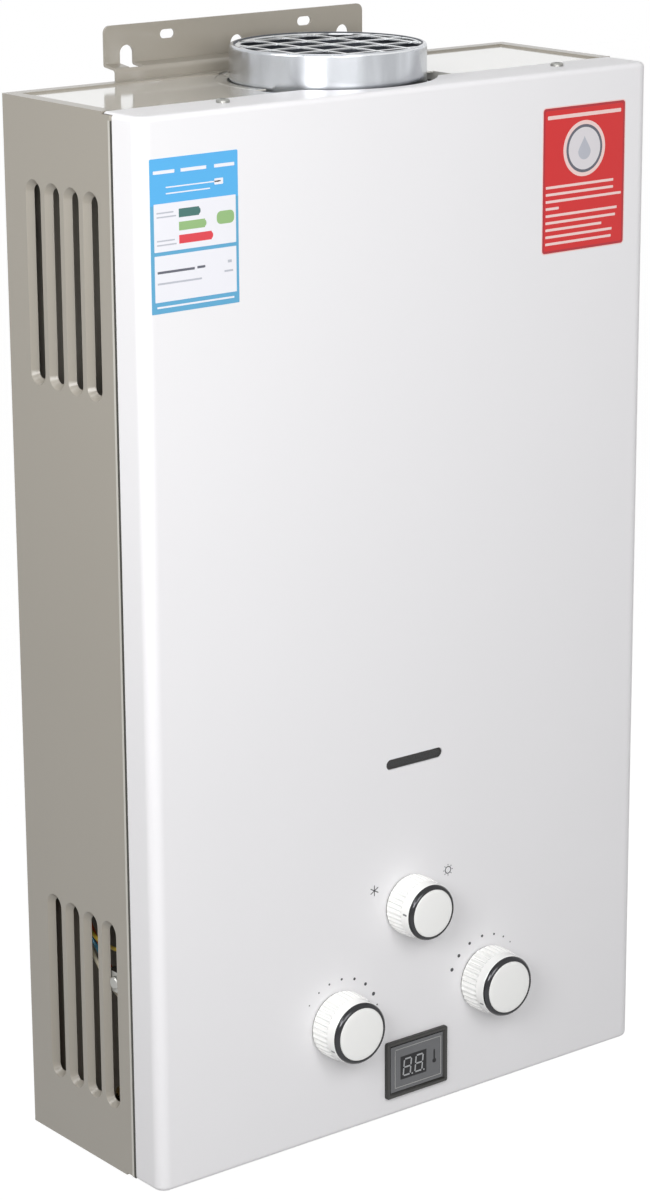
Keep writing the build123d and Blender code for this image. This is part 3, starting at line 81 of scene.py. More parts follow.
# %% Place the camera
camera_place = Vector((-1.1455, -1.5292, 0.2136))
camera_turn, camera_drop, camera_roll = radians(-38.005), radians(16.022), radians(-0.363)
bpy.ops.object.camera_add()
camera = bpy.context.object
camera.name = "photo_camera"
camera.matrix_world = (
    Matrix.Translation(camera_place)
    @ Matrix.Rotation(camera_turn, 4, "Z")
    @ Matrix.Rotation(pi / 2 - camera_drop, 4, "X")
    @ Matrix.Rotation(camera_roll, 4, "Z")
)
camera.data.sensor_fit = "VERTICAL"
camera.data.sensor_height = 36.0
camera.data.lens = 101.57
scene.camera = camera
scene.view_settings.view_transform = "Standard"
print("camera at", [round(value, 3) for value in camera.location])

# %% [markdown]
# ## A pale studio
# A product photograph like this has a white ground and broad, soft light. White comes from the
# colour of the floor and of the world, never from stronger lamps, so the case keeps its own tones.
# Light Path tells a ray that goes straight to the camera, or that is mirrored in metal or glass,
# from one that only lights the case. The key lamp and the front lamp shape the white cover, a
# narrow side lamp brightens the upper end of the grey side, and a large top lamp lifts the top.

# %% Helpers for selecting and for shader nodes
def deselect():
    """Leaves nothing selected, so the next operator acts on its own piece alone."""
    if bpy.context.object and bpy.context.object.mode != "OBJECT":
        bpy.ops.object.mode_set(mode="OBJECT")
    bpy.ops.object.select_all(action="DESELECT")


def seen_ray(tree):
    """A socket that is 1 on rays that reach the camera, straight or by glass and metal."""
    path = tree.nodes.new("ShaderNodeLightPath")
    total = path.outputs["Is Camera Ray"]
    for ray in ("Is Glossy Ray", "Is Transmission Ray"):
        join = tree.nodes.new("ShaderNodeMath")
        join.operation = "MAXIMUM"
        tree.links.new(total, join.inputs[0])
        tree.links.new(path.outputs[ray], join.inputs[1])
        total = join.outputs[0]
    return total


# %% Light the world and lay the floor
world = bpy.data.worlds.new("studio")
world.use_nodes = True
scene.world = world
tree = world.node_tree
tree.nodes.clear()
fill_strength = 0.34
fill = tree.nodes.new("ShaderNodeBackground")
fill.inputs["Strength"].default_value = fill_strength
white = tree.nodes.new("ShaderNodeBackground")
mix = tree.nodes.new("ShaderNodeMixShader")
end = tree.nodes.new("ShaderNodeOutputWorld")
for background in (fill, white):
    background.inputs["Color"].default_value = (1.0, 1.0, 1.0, 1.0)
tree.links.new(seen_ray(tree), mix.inputs["Fac"])
tree.links.new(fill.outputs[0], mix.inputs[1])
tree.links.new(white.outputs[0], mix.inputs[2])
tree.links.new(mix.outputs[0], end.inputs["Surface"])

# The drop leaves room for the battery door when it hangs open.
floor_drop, floor_size, floor_tone, floor_glow = 0.12, 9.0, 0.42, 0.8
floor_level = case_box[0][2] - floor_drop
deselect()
bpy.ops.mesh.primitive_plane_add(size=floor_size, location=(0, 0, floor_level))
floor = bpy.context.object
floor.name = "studio_floor"
floor_paint = bpy.data.materials.new("floor_paper")
floor_paint.use_nodes = True
tree = floor_paint.node_tree
paper = tree.nodes["Principled BSDF"]
paper.inputs["Base Color"].default_value = (floor_tone, floor_tone, floor_tone, 1.0)
paper.inputs["Roughness"].default_value = 0.9
glow = tree.nodes.new("ShaderNodeEmission")
join = tree.nodes.new("ShaderNodeAddShader")
scale = tree.nodes.new("ShaderNodeMath")
scale.operation = "MULTIPLY"
scale.inputs[1].default_value = floor_glow
tree.links.new(seen_ray(tree), scale.inputs[0])
tree.links.new(scale.outputs[0], glow.inputs["Strength"])
tree.links.new(paper.outputs[0], join.inputs[0])
tree.links.new(glow.outputs[0], join.inputs[1])
tree.links.new(join.outputs[0], tree.nodes["Material Output"].inputs["Surface"])
floor.data.materials.append(floor_paint)

# %% Hang the lamps
def softbox(name, place, aim, size, power):
    """A square area lamp at a place, turned to face a point."""
    deselect()
    bpy.ops.object.light_add(type="AREA", location=place)
    lamp = bpy.context.object
    lamp.name = name
    lamp.data.size = size
    lamp.data.energy = power
    lamp.rotation_euler = (Vector(aim) - Vector(place)).to_track_quat("-Z", "Y").to_euler()
    return lamp


middle = (0.0, -0.07, -0.3)
upper_left = (-0.12, -0.1, -0.1)
key = softbox("key_lamp", (-0.95, -0.8, 0.12), upper_left, 0.42, 5.6)
front_lamp = softbox("front_lamp", (-0.35, -1.3, 0.3), middle, 0.7, 7.9)
side_lamp = softbox("side_lamp", (-1.1, -0.05, 0.6), upper_left, 0.6, 0.65)
side_spread = radians(50)
side_lamp.data.spread = side_spread
top_lamp = softbox("top_lamp", (0.1, 0.2, 1.9), middle, 1.2, 2.0)
print("lamps:", [lamp.name for lamp in (key, front_lamp, side_lamp, top_lamp)])

# %% [markdown]
# ## Shared surface effects
# Paint on sheet steel isn't flat: it has a faint ripple, called orange peel, and drifts a little in
# tone. Rolled and brushed steel has fine lines along one direction. Castings have a coarse skin.
# Each effect is a node group, built once, so that every material can use it at its own scale.

# %% Build the node groups
def start_group(name, sockets):
    """A node group with colour, roughness and normal outputs and the named inputs."""
    group = bpy.data.node_groups.new(name, "ShaderNodeTree")
    for label, kind, value in sockets:
        socket = group.interface.new_socket(name=label, in_out="INPUT", socket_type=kind)
        socket.default_value = value
    for label, kind in (("Color", "Color"), ("Roughness", "Float"), ("Normal", "Vector")):
        group.interface.new_socket(name=label, in_out="OUTPUT", socket_type=f"NodeSocket{kind}")
    return group, group.nodes.new("NodeGroupInput"), group.nodes.new("NodeGroupOutput")


def ranged(group, value, low, high, to_low, to_high):
    """A value eased from one range to another; the ends may be numbers or sockets."""
    node = group.nodes.new("ShaderNodeMapRange")
    node.interpolation_type = "SMOOTHSTEP"
    group.links.new(value, node.inputs["Value"])
    ends = {"From Min": low, "From Max": high, "To Min": to_low, "To Max": to_high}
    for label, end in ends.items():
        if isinstance(end, (int, float)):
            node.inputs[label].default_value = end
        else:
            group.links.new(end, node.inputs[label])
    return node.outputs["Result"]


noise_low, noise_high = 0.15, 0.85
rough_high, rough_low = 1.15, 0.85


def finish_group(group, inside, outside, tone_noise, height_noise, bump_distance):
    """Wires drift in tone, drift in roughness and a bump to the group's outputs."""
    less = group.nodes.new("ShaderNodeMath")
    less.operation = "SUBTRACT"
    less.inputs[0].default_value = 1.0
    group.links.new(inside.outputs["Drift"], less.inputs[1])
    tone = ranged(group, tone_noise, noise_low, noise_high, less.outputs[0], 1.0)
    shade = group.nodes.new("ShaderNodeVectorMath")
    shade.operation = "SCALE"
    group.links.new(inside.outputs["Color"], shade.inputs[0])
    group.links.new(tone, shade.inputs["Scale"])
    group.links.new(shade.outputs[0], outside.inputs["Color"])
    rough = group.nodes.new("ShaderNodeMath")
    rough.operation = "MULTIPLY"
    group.links.new(inside.outputs["Roughness"], rough.inputs[0])
    swing = ranged(group, tone_noise, noise_low, noise_high, rough_high, rough_low)
    group.links.new(swing, rough.inputs[1])
    group.links.new(rough.outputs[0], outside.inputs["Roughness"])
    bump = group.nodes.new("ShaderNodeBump")
    bump.inputs["Distance"].default_value = bump_distance
    group.links.new(inside.outputs["Relief"], bump.inputs["Strength"])
    group.links.new(height_noise, bump.inputs["Height"])
    group.links.new(bump.outputs["Normal"], outside.inputs["Normal"])
    return group


def noise(group, vector, scale, detail):
    """A noise texture at a scale, which may be a number or a socket."""
    node = group.nodes.new("ShaderNodeTexNoise")
    node.inputs["Detail"].default_value = detail
    group.links.new(vector, node.inputs["Vector"])
    if isinstance(scale, (int, float)):
        node.inputs["Scale"].default_value = scale
    else:
        group.links.new(scale, node.inputs["Scale"])
    return node.outputs["Fac"]


base_sockets = [
    ("Color", "NodeSocketColor", (0.5, 0.5, 0.5, 1.0)),
    ("Roughness", "NodeSocketFloat", 0.4),
    ("Drift", "NodeSocketFloat", 0.05),
    ("Relief", "NodeSocketFloat", 0.2),
]

coat_skin, inside, outside = start_group(
    "coat_skin", base_sockets + [("Ripple", "NodeSocketFloat", 900.0)]
)
place = coat_skin.nodes.new("ShaderNodeTexCoord").outputs["Object"]
finish_group(
    coat_skin, inside, outside,
    noise(coat_skin, place, 7.0, 3.0),
    noise(coat_skin, place, inside.outputs["Ripple"], 2.0),
    bump_distance=0.00006,
)

drawn_metal, inside, outside = start_group(
    "drawn_metal", base_sockets + [("Stretch", "NodeSocketVector", (1.0, 1.0, 1.0))]
)
place = drawn_metal.nodes.new("ShaderNodeTexCoord").outputs["Object"]
pull = drawn_metal.nodes.new("ShaderNodeVectorMath")
pull.operation = "MULTIPLY"
drawn_metal.links.new(place, pull.inputs[0])
drawn_metal.links.new(inside.outputs["Stretch"], pull.inputs[1])
finish_group(
    drawn_metal, inside, outside,
    noise(drawn_metal, pull.outputs[0], 60.0, 4.0),
    noise(drawn_metal, pull.outputs[0], 900.0, 3.0),
    bump_distance=0.00004,
)
print("node groups:", coat_skin.name, drawn_metal.name)

# %% [markdown]
# ## The finishes
# Every finish is a Principled shader fed by one of the groups. What is the same all over, such as
# how metallic it is or how strong its clear coat is, is set on the shader itself.

# %% Write the finishes
def srgb(red, green, blue):
    """Colour values from 0 to 255, as a picture shows them, made linear for a shader."""
    shares = [value / 255 for value in (red, green, blue)]
    linear = [s / 12.92 if s <= 0.04045 else ((s + 0.055) / 1.055) ** 2.4 for s in shares]
    return (*linear, 1.0)


coat_roughness = 0.08


def finish(
    name, group, color, roughness, drift=0.05, relief=0.2, metallic=0.0, coat=0.0, shine=0.5, **more
):
    """A material whose colour, roughness and normal come from a surface group."""
    material = bpy.data.materials.new(name)
    material.use_nodes = True
    shader = material.node_tree.nodes["Principled BSDF"]
    shader.inputs["Metallic"].default_value = metallic
    shader.inputs["Coat Weight"].default_value = coat
    shader.inputs["Coat Roughness"].default_value = coat_roughness
    shader.inputs["Specular IOR Level"].default_value = shine
    skin = material.node_tree.nodes.new("ShaderNodeGroup")
    skin.node_tree = group
    skin.inputs["Color"].default_value = color
    skin.inputs["Roughness"].default_value = roughness
    skin.inputs["Drift"].default_value = drift
    skin.inputs["Relief"].default_value = relief
    for label, value in more.items():
        skin.inputs[label].default_value = value
    for label in ("Color", "Roughness", "Normal"):
        socket = "Base Color" if label == "Color" else label
        material.node_tree.links.new(skin.outputs[label], shader.inputs[socket])
    material.diffuse_color = color
    return material


# Paints: the grey case, its paler top panel and the white cover.
case_paint = finish(
    "warm_grey_paint", coat_skin, srgb(155, 149, 138), 0.34, drift=0.02, relief=0.25, coat=0.4
)
top_paint = finish(
    "pale_grey_paint", coat_skin, srgb(222, 220, 213), 0.14, drift=0.04, relief=0.12, coat=1.0
)
cover_paint = finish(
    "white_baked_paint", coat_skin, srgb(242, 241, 243), 0.4,
    drift=0.015, relief=0.12, coat=0.05, shine=0.3,
)

# Metals.
zinc = finish(
    "zinc_plate", coat_skin, srgb(166, 166, 162), 0.36,
    drift=0.12, relief=0.4, metallic=1.0, Ripple=1500.0,
)
rolled_steel = finish(
    "rolled_steel", drawn_metal, srgb(214, 217, 222), 0.22,
    drift=0.35, relief=0.25, metallic=1.0, Stretch=(1.0, 1.0, 0.12),
)
bright_steel = finish(
    "bright_steel", drawn_metal, srgb(238, 240, 242), 0.3,
    drift=0.1, relief=0.1, metallic=1.0, Stretch=(0.2, 1.0, 1.0),
)
inner_dark_steel = finish("inner_dark_steel", coat_skin, srgb(58, 62, 70), 0.6, drift=0.15, relief=0.3)
copper = finish(
    "drawn_copper", drawn_metal, srgb(205, 132, 102), 0.28,
    drift=0.3, metallic=1.0, Stretch=(0.3, 1.0, 1.0),
)
brass = finish(
    "turned_brass", drawn_metal, srgb(204, 176, 112), 0.26,
    drift=0.15, metallic=1.0, Stretch=(1.0, 1.0, 6.0),
)
cast_alloy = finish(
    "cast_alloy", coat_skin, srgb(178, 180, 184), 0.45,
    drift=0.12, relief=0.8, metallic=1.0, Ripple=420.0,
)
# The chrome's colour is painted dark, standing in for the dark surroundings that polished chrome
# would reflect.
chrome_with_painted_dark_reflection = finish(
    "chrome_with_painted_dark_reflection", drawn_metal, srgb(66, 66, 68), 0.1, drift=0.1, relief=0.05, metallic=1.0
)

# Plastics, rubber and ceramic.
knob_plastic = finish(
    "white_knob_plastic", coat_skin, srgb(250, 250, 248), 0.22, drift=0.012, relief=0.05, coat=0.5
)
frame_plastic = finish(
    "frame_plastic", coat_skin, srgb(30, 29, 26), 0.38, drift=0.06, relief=0.1, coat=0.15
)
black_plastic = finish(
    "black_plastic", coat_skin, srgb(44, 44, 46), 0.42, drift=0.1, relief=0.35, Ripple=1400.0
)
coil_plastic = finish("coil_plastic", coat_skin, srgb(60, 66, 96), 0.4, drift=0.1, relief=0.3)
seal_rubber = finish("seal_rubber", coat_skin, srgb(38, 38, 38), 0.7, drift=0.15, relief=0.5)
ceramic = finish(
    "glazed_ceramic", coat_skin, srgb(232, 228, 216), 0.15, drift=0.04, relief=0.1, coat=0.6
)
cell_jacket = finish(
    "cell_jacket", coat_skin, srgb(70, 78, 96), 0.3, drift=0.05, relief=0.1, coat=0.4
)


def glass(name, color, roughness, ior=1.5):
    """Clear or smoked glass, with a faint drift in its polish."""
    material = finish(name, coat_skin, color, roughness, drift=0.02, relief=0.03)
    shader = material.node_tree.nodes["Principled BSDF"]
    shader.inputs["Transmission Weight"].default_value = 1.0
    shader.inputs["IOR"].default_value = ior
    return material


smoked_glass = glass("smoked_glass", srgb(120, 122, 126), 0.04)
clear_glass = glass("clear_glass", srgb(232, 234, 236), 0.02, ior=1.2)

slot_finishes = {
    "case_paint": case_paint, "cover_paint": cover_paint,
    "plated_steel": zinc, "collar_steel": rolled_steel,
    "copper": copper, "brass": brass, "cast_alloy": cast_alloy, "coil_plastic": coil_plastic,
    "white_plastic": knob_plastic, "bright_trim": chrome_with_painted_dark_reflection, "seal_rubber": seal_rubber,
    "black_plastic": black_plastic, "ceramic": ceramic, "cell_jacket": cell_jacket,
    "display_window": clear_glass, "sight_glass": smoked_glass, "wire_cover": coil_plastic,
}
for part in frame["record"]["subparts"]:
    node = nodes[part["node"]]
    node.data.materials.clear()
    node.data.materials.append(slot_finishes[part["material_slot"]])
for name, material in (("top_panel", top_paint), ("display_bezel", frame_plastic)):
    nodes[name].data.materials[0] = material

# %% Darken the inside of the collar
collar_low, collar_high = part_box("flue_collar")
collar_x, collar_y = (collar_low.x + collar_high.x) / 2, (collar_low.y + collar_high.y) / 2
collar = nodes["flue_collar"].data
# Faces turned into the collar's hollow take a darker steel.
collar.materials.append(inner_dark_steel)
inward_share = -0.2
for face in collar.polygons:
    out = Vector((face.center.x - collar_x, face.center.y - collar_y))
    if face.normal.xy.dot(out) < inward_share * out.length:
        face.material_index = 1
print("faces with darker_steel:", sum(face.material_index for face in collar.polygons))

# %% [markdown]
# ## The wires
# The harness is one piece with seven wires in it, each with its own colour of cover. Every face
# takes the colour of the route that it lies nearest to. The routes are in millimetres: sideways
# from the middle, in from the back of the case and up from its foot.

# %% Colour the wires one by one
wall_gap, case_foot = 12.0, -611.5
wires = {
    "teal": ((40, 120, 150), [
        (-158, 26, 150), (-158, 26, 136), (-162, 46, 122), (-162, 68, 103), (-146, 82, 96),
        (-118, 76, 96), (-93, 60, 100), (-93, 60, 80),
    ]),
    "orange": ((214, 92, 40), [
        (-154, 26, 150), (-154, 26, 134), (-157, 46, 115), (-157, 70, 95), (-138, 86, 90),
        (-108, 84, 96), (-80, 68, 99), (-48, 56, 108), (-14, 60, 122), (-14, 60, 99),
    ]),
    "cream": ((222, 214, 190), [
        (-162, 34, 150), (-162, 34, 134), (-166, 50, 118), (-166, 70, 100), (-154, 88, 84),
        (-120, 100, 62), (-76, 105, 40), (-30, 98, 30), (-6, 98, 29), (-6, 111, 29),
    ]),
    "black": ((36, 36, 38), [
        (-150, 16, 150), (-150, 16, 130), (-118, 8, 116), (-66, 6, 112), (-14, 6, 110),
        (40, 6, 106), (86, 8, 90), (110, 18, 62), (120, 40, 56), (120, 40, 38),
    ]),
    "white": ((228, 228, 224), [
        (-156, 46, 206), (-156, 68, 206), (-152, 90, 202), (-124, 110, 196), (-84, 117, 190),
        (-36, 119, 194), (-36, 107, 194),
    ]),
    "blue": ((44, 70, 160), [
        (-156, 46, 198), (-156, 68, 198), (-150, 92, 194), (-122, 112, 186), (-76, 117, 180),
        (-26, 118, 178), (36, 119, 194), (36, 107, 194),
    ]),
    "yellow": ((214, 184, 62), [
        (-166, 40, 150), (-166, 40, 138), (-166, 54, 126), (-164, 78, 124), (-142, 90, 124),
        (-142, 73, 124),
    ]),
}


def apart(point, start, end):
    """How far a point lies from a straight run between two others."""
    run = end - start
    share = min(1.0, max(0.0, (point - start).dot(run) / run.length_squared))
    return (point - start - run * share).length


harness = nodes["wiring_harness"].data
harness.materials.clear()
runs = []
for index, (name, (color, points)) in enumerate(wires.items()):
    cover = finish(f"{name}_wire", coat_skin, srgb(*color), 0.38, drift=0.06, relief=0.1)
    harness.materials.append(cover)
    spots = [Vector((x, -wall_gap - depth, case_foot + level)) * MM for x, depth, level in points]
    runs += [(index, start, end) for start, end in zip(spots, spots[1:])]
for face in harness.polygons:
    nearest = min(runs, key=lambda run: apart(face.center, run[1], run[2]))
    face.material_index = nearest[0]
print("wires:", len(wires))

# %% [markdown]
# ## How the new pieces are made
# A knob, a screw head or a rolled louvre edge is a turned shape: one ring of points that is drawn
# out and resized again and again. A sticker or a printed mark is a thin plate. Both start from one
# primitive and are shaped in edit mode. Turned pieces are made about the Z axis and plates in the
# XY plane, and then everything is tipped over, so that +Z becomes the way out of the cover.

# %% Helpers for turned pieces and plates
def turned(name, profile, segments=64, close_ends=True):
    """A turned piece about Z. The profile holds radius and height pairs in millimetres."""
    deselect()
    radius, level = profile[0]
    bpy.ops.mesh.primitive_circle_add(
        vertices=segments, radius=radius * MM, location=(0, 0, level * MM)
    )
    piece = bpy.context.object
    piece.name = name
    bpy.ops.object.transform_apply(location=True, rotation=True, scale=True)
    bpy.ops.object.mode_set(mode="EDIT")
    bpy.ops.mesh.select_all(action="SELECT")
    if close_ends:
        bpy.ops.mesh.edge_face_add()
    for (last_radius, last_level), (radius, level) in zip(profile, profile[1:]):
        rise = (level - last_level) * MM
        bpy.ops.mesh.extrude_region_move(TRANSFORM_OT_translate={"value": (0, 0, rise)})
        size = radius / last_radius
        bpy.ops.transform.resize(value=(size, size, 1), center_override=(0, 0, 0))
    bpy.ops.mesh.select_all(action="SELECT")
    if not close_ends and profile[0] == profile[-1]:
        bpy.ops.mesh.remove_doubles(threshold=0.00001)
    bpy.ops.mesh.normals_make_consistent(inside=False)
    bpy.ops.object.mode_set(mode="OBJECT")
    return piece


def plate(name, width, height, thickness, corner=0.0, steps=5):
    """A thin plate in the XY plane with rounded corners, its sizes in millimetres."""
    deselect()
    bpy.ops.mesh.primitive_plane_add(size=1.0)
    piece = bpy.context.object
    piece.name = name
    piece.scale = (width * MM, height * MM, 1)
    bpy.ops.object.transform_apply(location=False, rotation=False, scale=True)
    bpy.ops.object.mode_set(mode="EDIT")
    bpy.ops.mesh.select_all(action="SELECT")
    if corner:
        bpy.ops.mesh.bevel(offset=corner * MM, segments=steps, affect="VERTICES")
    bpy.ops.mesh.extrude_region_move(TRANSFORM_OT_translate={"value": (0, 0, thickness * MM)})
    bpy.ops.mesh.select_all(action="SELECT")
    bpy.ops.mesh.normals_make_consistent(inside=False)
    bpy.ops.object.mode_set(mode="OBJECT")
    return piece


def coloured(piece, material):
    """The piece with one material and no other."""
    piece.data.materials.clear()
    piece.data.materials.append(material)
    return piece


def put(piece, matrix):
    """Moves the mesh itself, so that the object stays at the origin."""
    piece.data.transform(matrix)
    piece.data.update()
    return piece


def copy_of(piece, name):
    """A copy with its own mesh."""
    twin = piece.copy()
    twin.data = piece.data.copy()
    twin.name = name
    scene.collection.objects.link(twin)
    return twin


def joined(name, pieces):
    """One object from several, each keeping its own material."""
    deselect()
    for piece in pieces:
        piece.select_set(True)
    bpy.context.view_layer.objects.active = pieces[0]
    if len(pieces) > 1:
        bpy.ops.object.join()
    pieces[0].name = name
    return pieces[0]


def seated(piece, body, angle=35.0, replaced=()):
    """Smooths a piece, fastens it to its body and hides the CAD nodes it stands for."""
    deselect()
    piece.select_set(True)
    bpy.context.view_layer.objects.active = piece
    bpy.ops.object.shade_smooth_by_angle(angle=radians(angle))
    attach(piece, body)
    if replaced:
        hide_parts(*replaced)
    return piece


def to_front(x, z, proud=0.0):
    """The turn and move that stand a piece on the cover's face, at x and z in metres."""
    return Matrix.Translation((x, cover_y - proud * MM, z)) @ Matrix.Rotation(pi / 2, 4, "X")


def spun(degrees, axis="Z"):
    """A turn about one axis."""
    return Matrix.Rotation(radians(degrees), 4, axis)


cover_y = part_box("front_cover")[0].y
case_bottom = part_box("rear_housing")[0].z


def height(value):
    """Height above the case's bottom in millimetres, as a Z place in metres."""
    return case_bottom + value * MM


print("cover face at", round(cover_y, 4), "case bottom at", round(case_bottom, 4))

# %% [markdown]
# ## The knobs
# Each knob is three mouldings: a white skirt with shallow flutes where fingers grip, a chrome ring
# whose colour is painted dark, standing in for the dark surroundings it would reflect, and a white
# cap that swells a little in the middle. The flutes are made by drawing in every other pair of
# points below the shoulder, and a narrow dark ring of painted shadow stands between skirt and
# cover.
# One knob is modelled and copied, and the season knob is the same design a tenth smaller.

# %% Turn the knob's three pieces
flute_count = 36
flute_segments = 4 * flute_count
flute_low, flute_high, flute_size = 0.9 * MM, 11.6 * MM, 0.93
skirt = turned(
    "knob_skirt",
    [
        (17.8, 0.6), (19.1, 0.7), (19.4, 1.1), (19.3, 9.0), (19.0, 11.4),
        (18.5, 12.6), (18.3, 13.4), (18.2, 18.2), (17.9, 18.6), (15.2, 18.6),
    ],
    segments=flute_segments,
)
bpy.ops.object.mode_set(mode="EDIT")
bpy.ops.mesh.select_mode(type="VERT")
bpy.ops.mesh.select_all(action="DESELECT")
bpy.ops.object.mode_set(mode="OBJECT")
for vertex in skirt.data.vertices:
    turn = Vector((vertex.co.x, vertex.co.y)).angle_signed(Vector((1, 0)))
    step = round(turn / (2 * pi) * flute_segments)
    vertex.select = flute_low < vertex.co.z < flute_high and step % 4 in (1, 2)
bpy.ops.object.mode_set(mode="EDIT")
bpy.ops.transform.resize(value=(flute_size, flute_size, 1), center_override=(0, 0, 0))
bpy.ops.object.mode_set(mode="OBJECT")
coloured(skirt, knob_plastic)

ring = turned(
    "knob_ring",
    [
        (15.6, 18.6), (17.95, 18.6), (17.95, 19.1), (17.6, 20.0), (17.0, 20.7),
        (16.4, 21.1), (15.9, 21.2), (15.6, 21.1), (15.6, 18.6),
    ],
    close_ends=False,
)
coloured(ring, chrome_with_painted_dark_reflection)
cap = turned(
    "knob_cap",
    [
        (15.5, 18.6), (15.5, 20.7), (15.3, 21.1), (14.8, 21.3),
        (13.0, 21.45), (9.0, 21.65), (4.5, 21.78), (0.4, 21.8),
    ],
)
coloured(cap, knob_plastic)
# A thin dark ring under the skirt's edge is painted shadow where the knob meets the cover.
shadow_ring = turned(
    "knob_shadow_ring",
    [(18.2, 0.1), (18.9, 0.1), (18.9, 0.65), (18.2, 0.65), (18.2, 0.1)],
    segments=72, close_ends=False,
)
shadow_ring_paint = finish("foot_shadow", coat_skin, srgb(96, 94, 90), 0.7, drift=0.1)
coloured(shadow_ring, shadow_ring_paint)
mark = plate("pointer_mark", 1.1, 3.2, 0.12, corner=0.5)
pointer_paint = finish("pointer_paint", coat_skin, srgb(120, 120, 122), 0.4, relief=0.1)
coloured(mark, pointer_paint)

# %% Place three knobs
pointer_radius, pointer_rise = 18.22 * MM, 15.8 * MM
upright = spun(90, "Y") @ spun(90, "Z")
# Each knob's place across, its height, its size and the turn of its pointer in degrees.
knob_places = {
    "gas": (-50.5, 68.3, 1.0, 205.0),
    "water": (58.8, 68.3, 1.0, 205.0),
    "season": (1.2, 128.0, 17.2 / 19.0, 175.0),
}
for control, (x, level, size, pointer) in knob_places.items():
    body, knob = f"{control}_control", f"{control}_knob"
    stand = to_front(x * MM, height(level)) @ Matrix.Diagonal((size, size, 1, 1))
    tip = spun(pointer) @ Matrix.Translation((pointer_radius, 0, pointer_rise)) @ upright
    moulding = joined(f"{knob}_skirt", [
        put(copy_of(skirt, "skirt"), stand),
        put(copy_of(mark, "tip"), stand @ tip),
        put(copy_of(shadow_ring, "shadow_ring"), stand),
    ])
    seated(moulding, body, 25, [knob])
    chrome = put(copy_of(ring, f"{control}_chrome_ring"), stand)
    seated(chrome, body, 50, [f"{knob}_ring"])
    seated(put(copy_of(cap, f"{control}_cap"), stand), body, 50, [f"{knob}_cap"])
for pattern in (skirt, ring, cap, shadow_ring, mark):
    bpy.data.objects.remove(pattern)
print("knobs:", sorted(knob_places))

# %% [markdown]
# ## Printed marks
# The cover carries small printed marks: two arcs of dots that grow towards the strong end, a snow
# star and a sun. Print is a film a few hundredths of a millimetre thick, so each mark is a thin
# disc or bar that lies on the paint. The dots' places come from an arc round each knob.

# %% Print the dots, the star and the sun
mark_ink = finish("grey_ink", coat_skin, srgb(70, 70, 74), 0.5, drift=0.1, relief=0.05)
print_thickness = 0.06


def dots(name, centre, arc_radius, angles, sizes):
    """Discs of ink along an arc, at angles in degrees from straight up, turning right."""
    pieces = []
    for angle, size in zip(angles, sizes):
        disc = turned("dot", [(size, 0.0), (size, print_thickness)], segments=20)
        x = centre[0] + arc_radius * sin(radians(angle))
        z = centre[1] + arc_radius * cos(radians(angle))
        pieces.append(put(coloured(disc, mark_ink), to_front(x * MM, height(z))))
    return seated(joined(name, pieces), "heater")


dots(
    "gas_dial_dots", (-49.9, 66.4), 27.9,
    [-50, -31.5, -14.8, 3.5, 23, 42.5, 62, 78],
    [0.42, 0.5, 0.6, 0.72, 0.85, 1.0, 1.15, 0.5],
)
dots(
    "water_dial_dots", (57.3, 67.5), 26.9,
    [-64.5, -45.2, -24, -3.2, 16.5, 33.5, 48.5],
    [1.15, 1.05, 0.95, 0.85, 0.7, 0.55, 0.4],
)

rays = []
star_stand = to_front(-24.4 * MM, height(141.6))
for angle in (0, 60, 120):
    arm = plate("arm", 0.55, 6.4, print_thickness, corner=0.25, steps=2)
    rays.append(put(coloured(arm, mark_ink), star_stand @ spun(angle)))
seated(joined("snow_star", rays), "heater")

sun_stand = to_front(29.7 * MM, height(141.4))
sun_ring = turned(
    "sun_ring",
    [(1.75, 0.0), (2.3, 0.0), (2.3, print_thickness), (1.75, print_thickness), (1.75, 0.0)],
    segments=32, close_ends=False,
)
sun = [put(coloured(sun_ring, mark_ink), sun_stand)]
beam_place = Matrix.Translation((0, 3.1 * MM, 0))
for angle in range(0, 360, 45):
    beam = plate("beam", 0.4, 0.9, print_thickness, corner=0.15, steps=2)
    sun.append(put(coloured(beam, mark_ink), sun_stand @ spun(angle) @ beam_place))
seated(joined("sun_mark", sun), "heater")
print("printed marks done")

# %% [markdown]
# ## Small metal pieces
# The collar's grille is a ring with flat bars welded across, flush with the rim. The top panel's
# notch has a rolled lip behind the collar: a ring that is turned whole and then cut, so that it
# stays on the panel. The cover's screws have a cross recess, whose shade is painted as two dark
# bars. Where the case meets the cover, a pale strip is a painted highlight on the case's rolled
# edge, beside a dark strip of painted shadow in the joint.

# %% Weld the collar's grille
grille_level = collar_high.z - 0.5 * MM
bar_pitch, bar_wide, bar_thick, grille_radius = 20.3, 2.4, 0.8, 51.6
rim_ring = turned(
    "grille_ring",
    [
        (49.4, -bar_thick), (51.9, -bar_thick), (52.0, -0.3), (51.7, 0.0),
        (49.7, 0.0), (49.4, -0.3), (49.4, -bar_thick),
    ],
    segments=96, close_ends=False,
)
stand = Matrix.Translation((collar_x, collar_y, grille_level))
bars = [put(coloured(rim_ring, bright_steel), stand)]
for index in range(-2, 3):
    offset = index * bar_pitch
    reach = 2 * (grille_radius ** 2 - offset ** 2) ** 0.5
    # The second layer lies a little lower, so that no two faces share a plane.
    for turn, lift in ((0, -bar_thick), (90, -bar_thick - 0.02)):
        bar = plate("grille_bar", reach, bar_wide, bar_thick, corner=0.2, steps=2)
        place = Matrix.Translation((0, offset * MM, lift * MM))
        bars.append(put(coloured(bar, bright_steel), stand @ spun(turn) @ place))
seated(joined("collar_grille", bars), "heater", replaced=["flue_grille"])

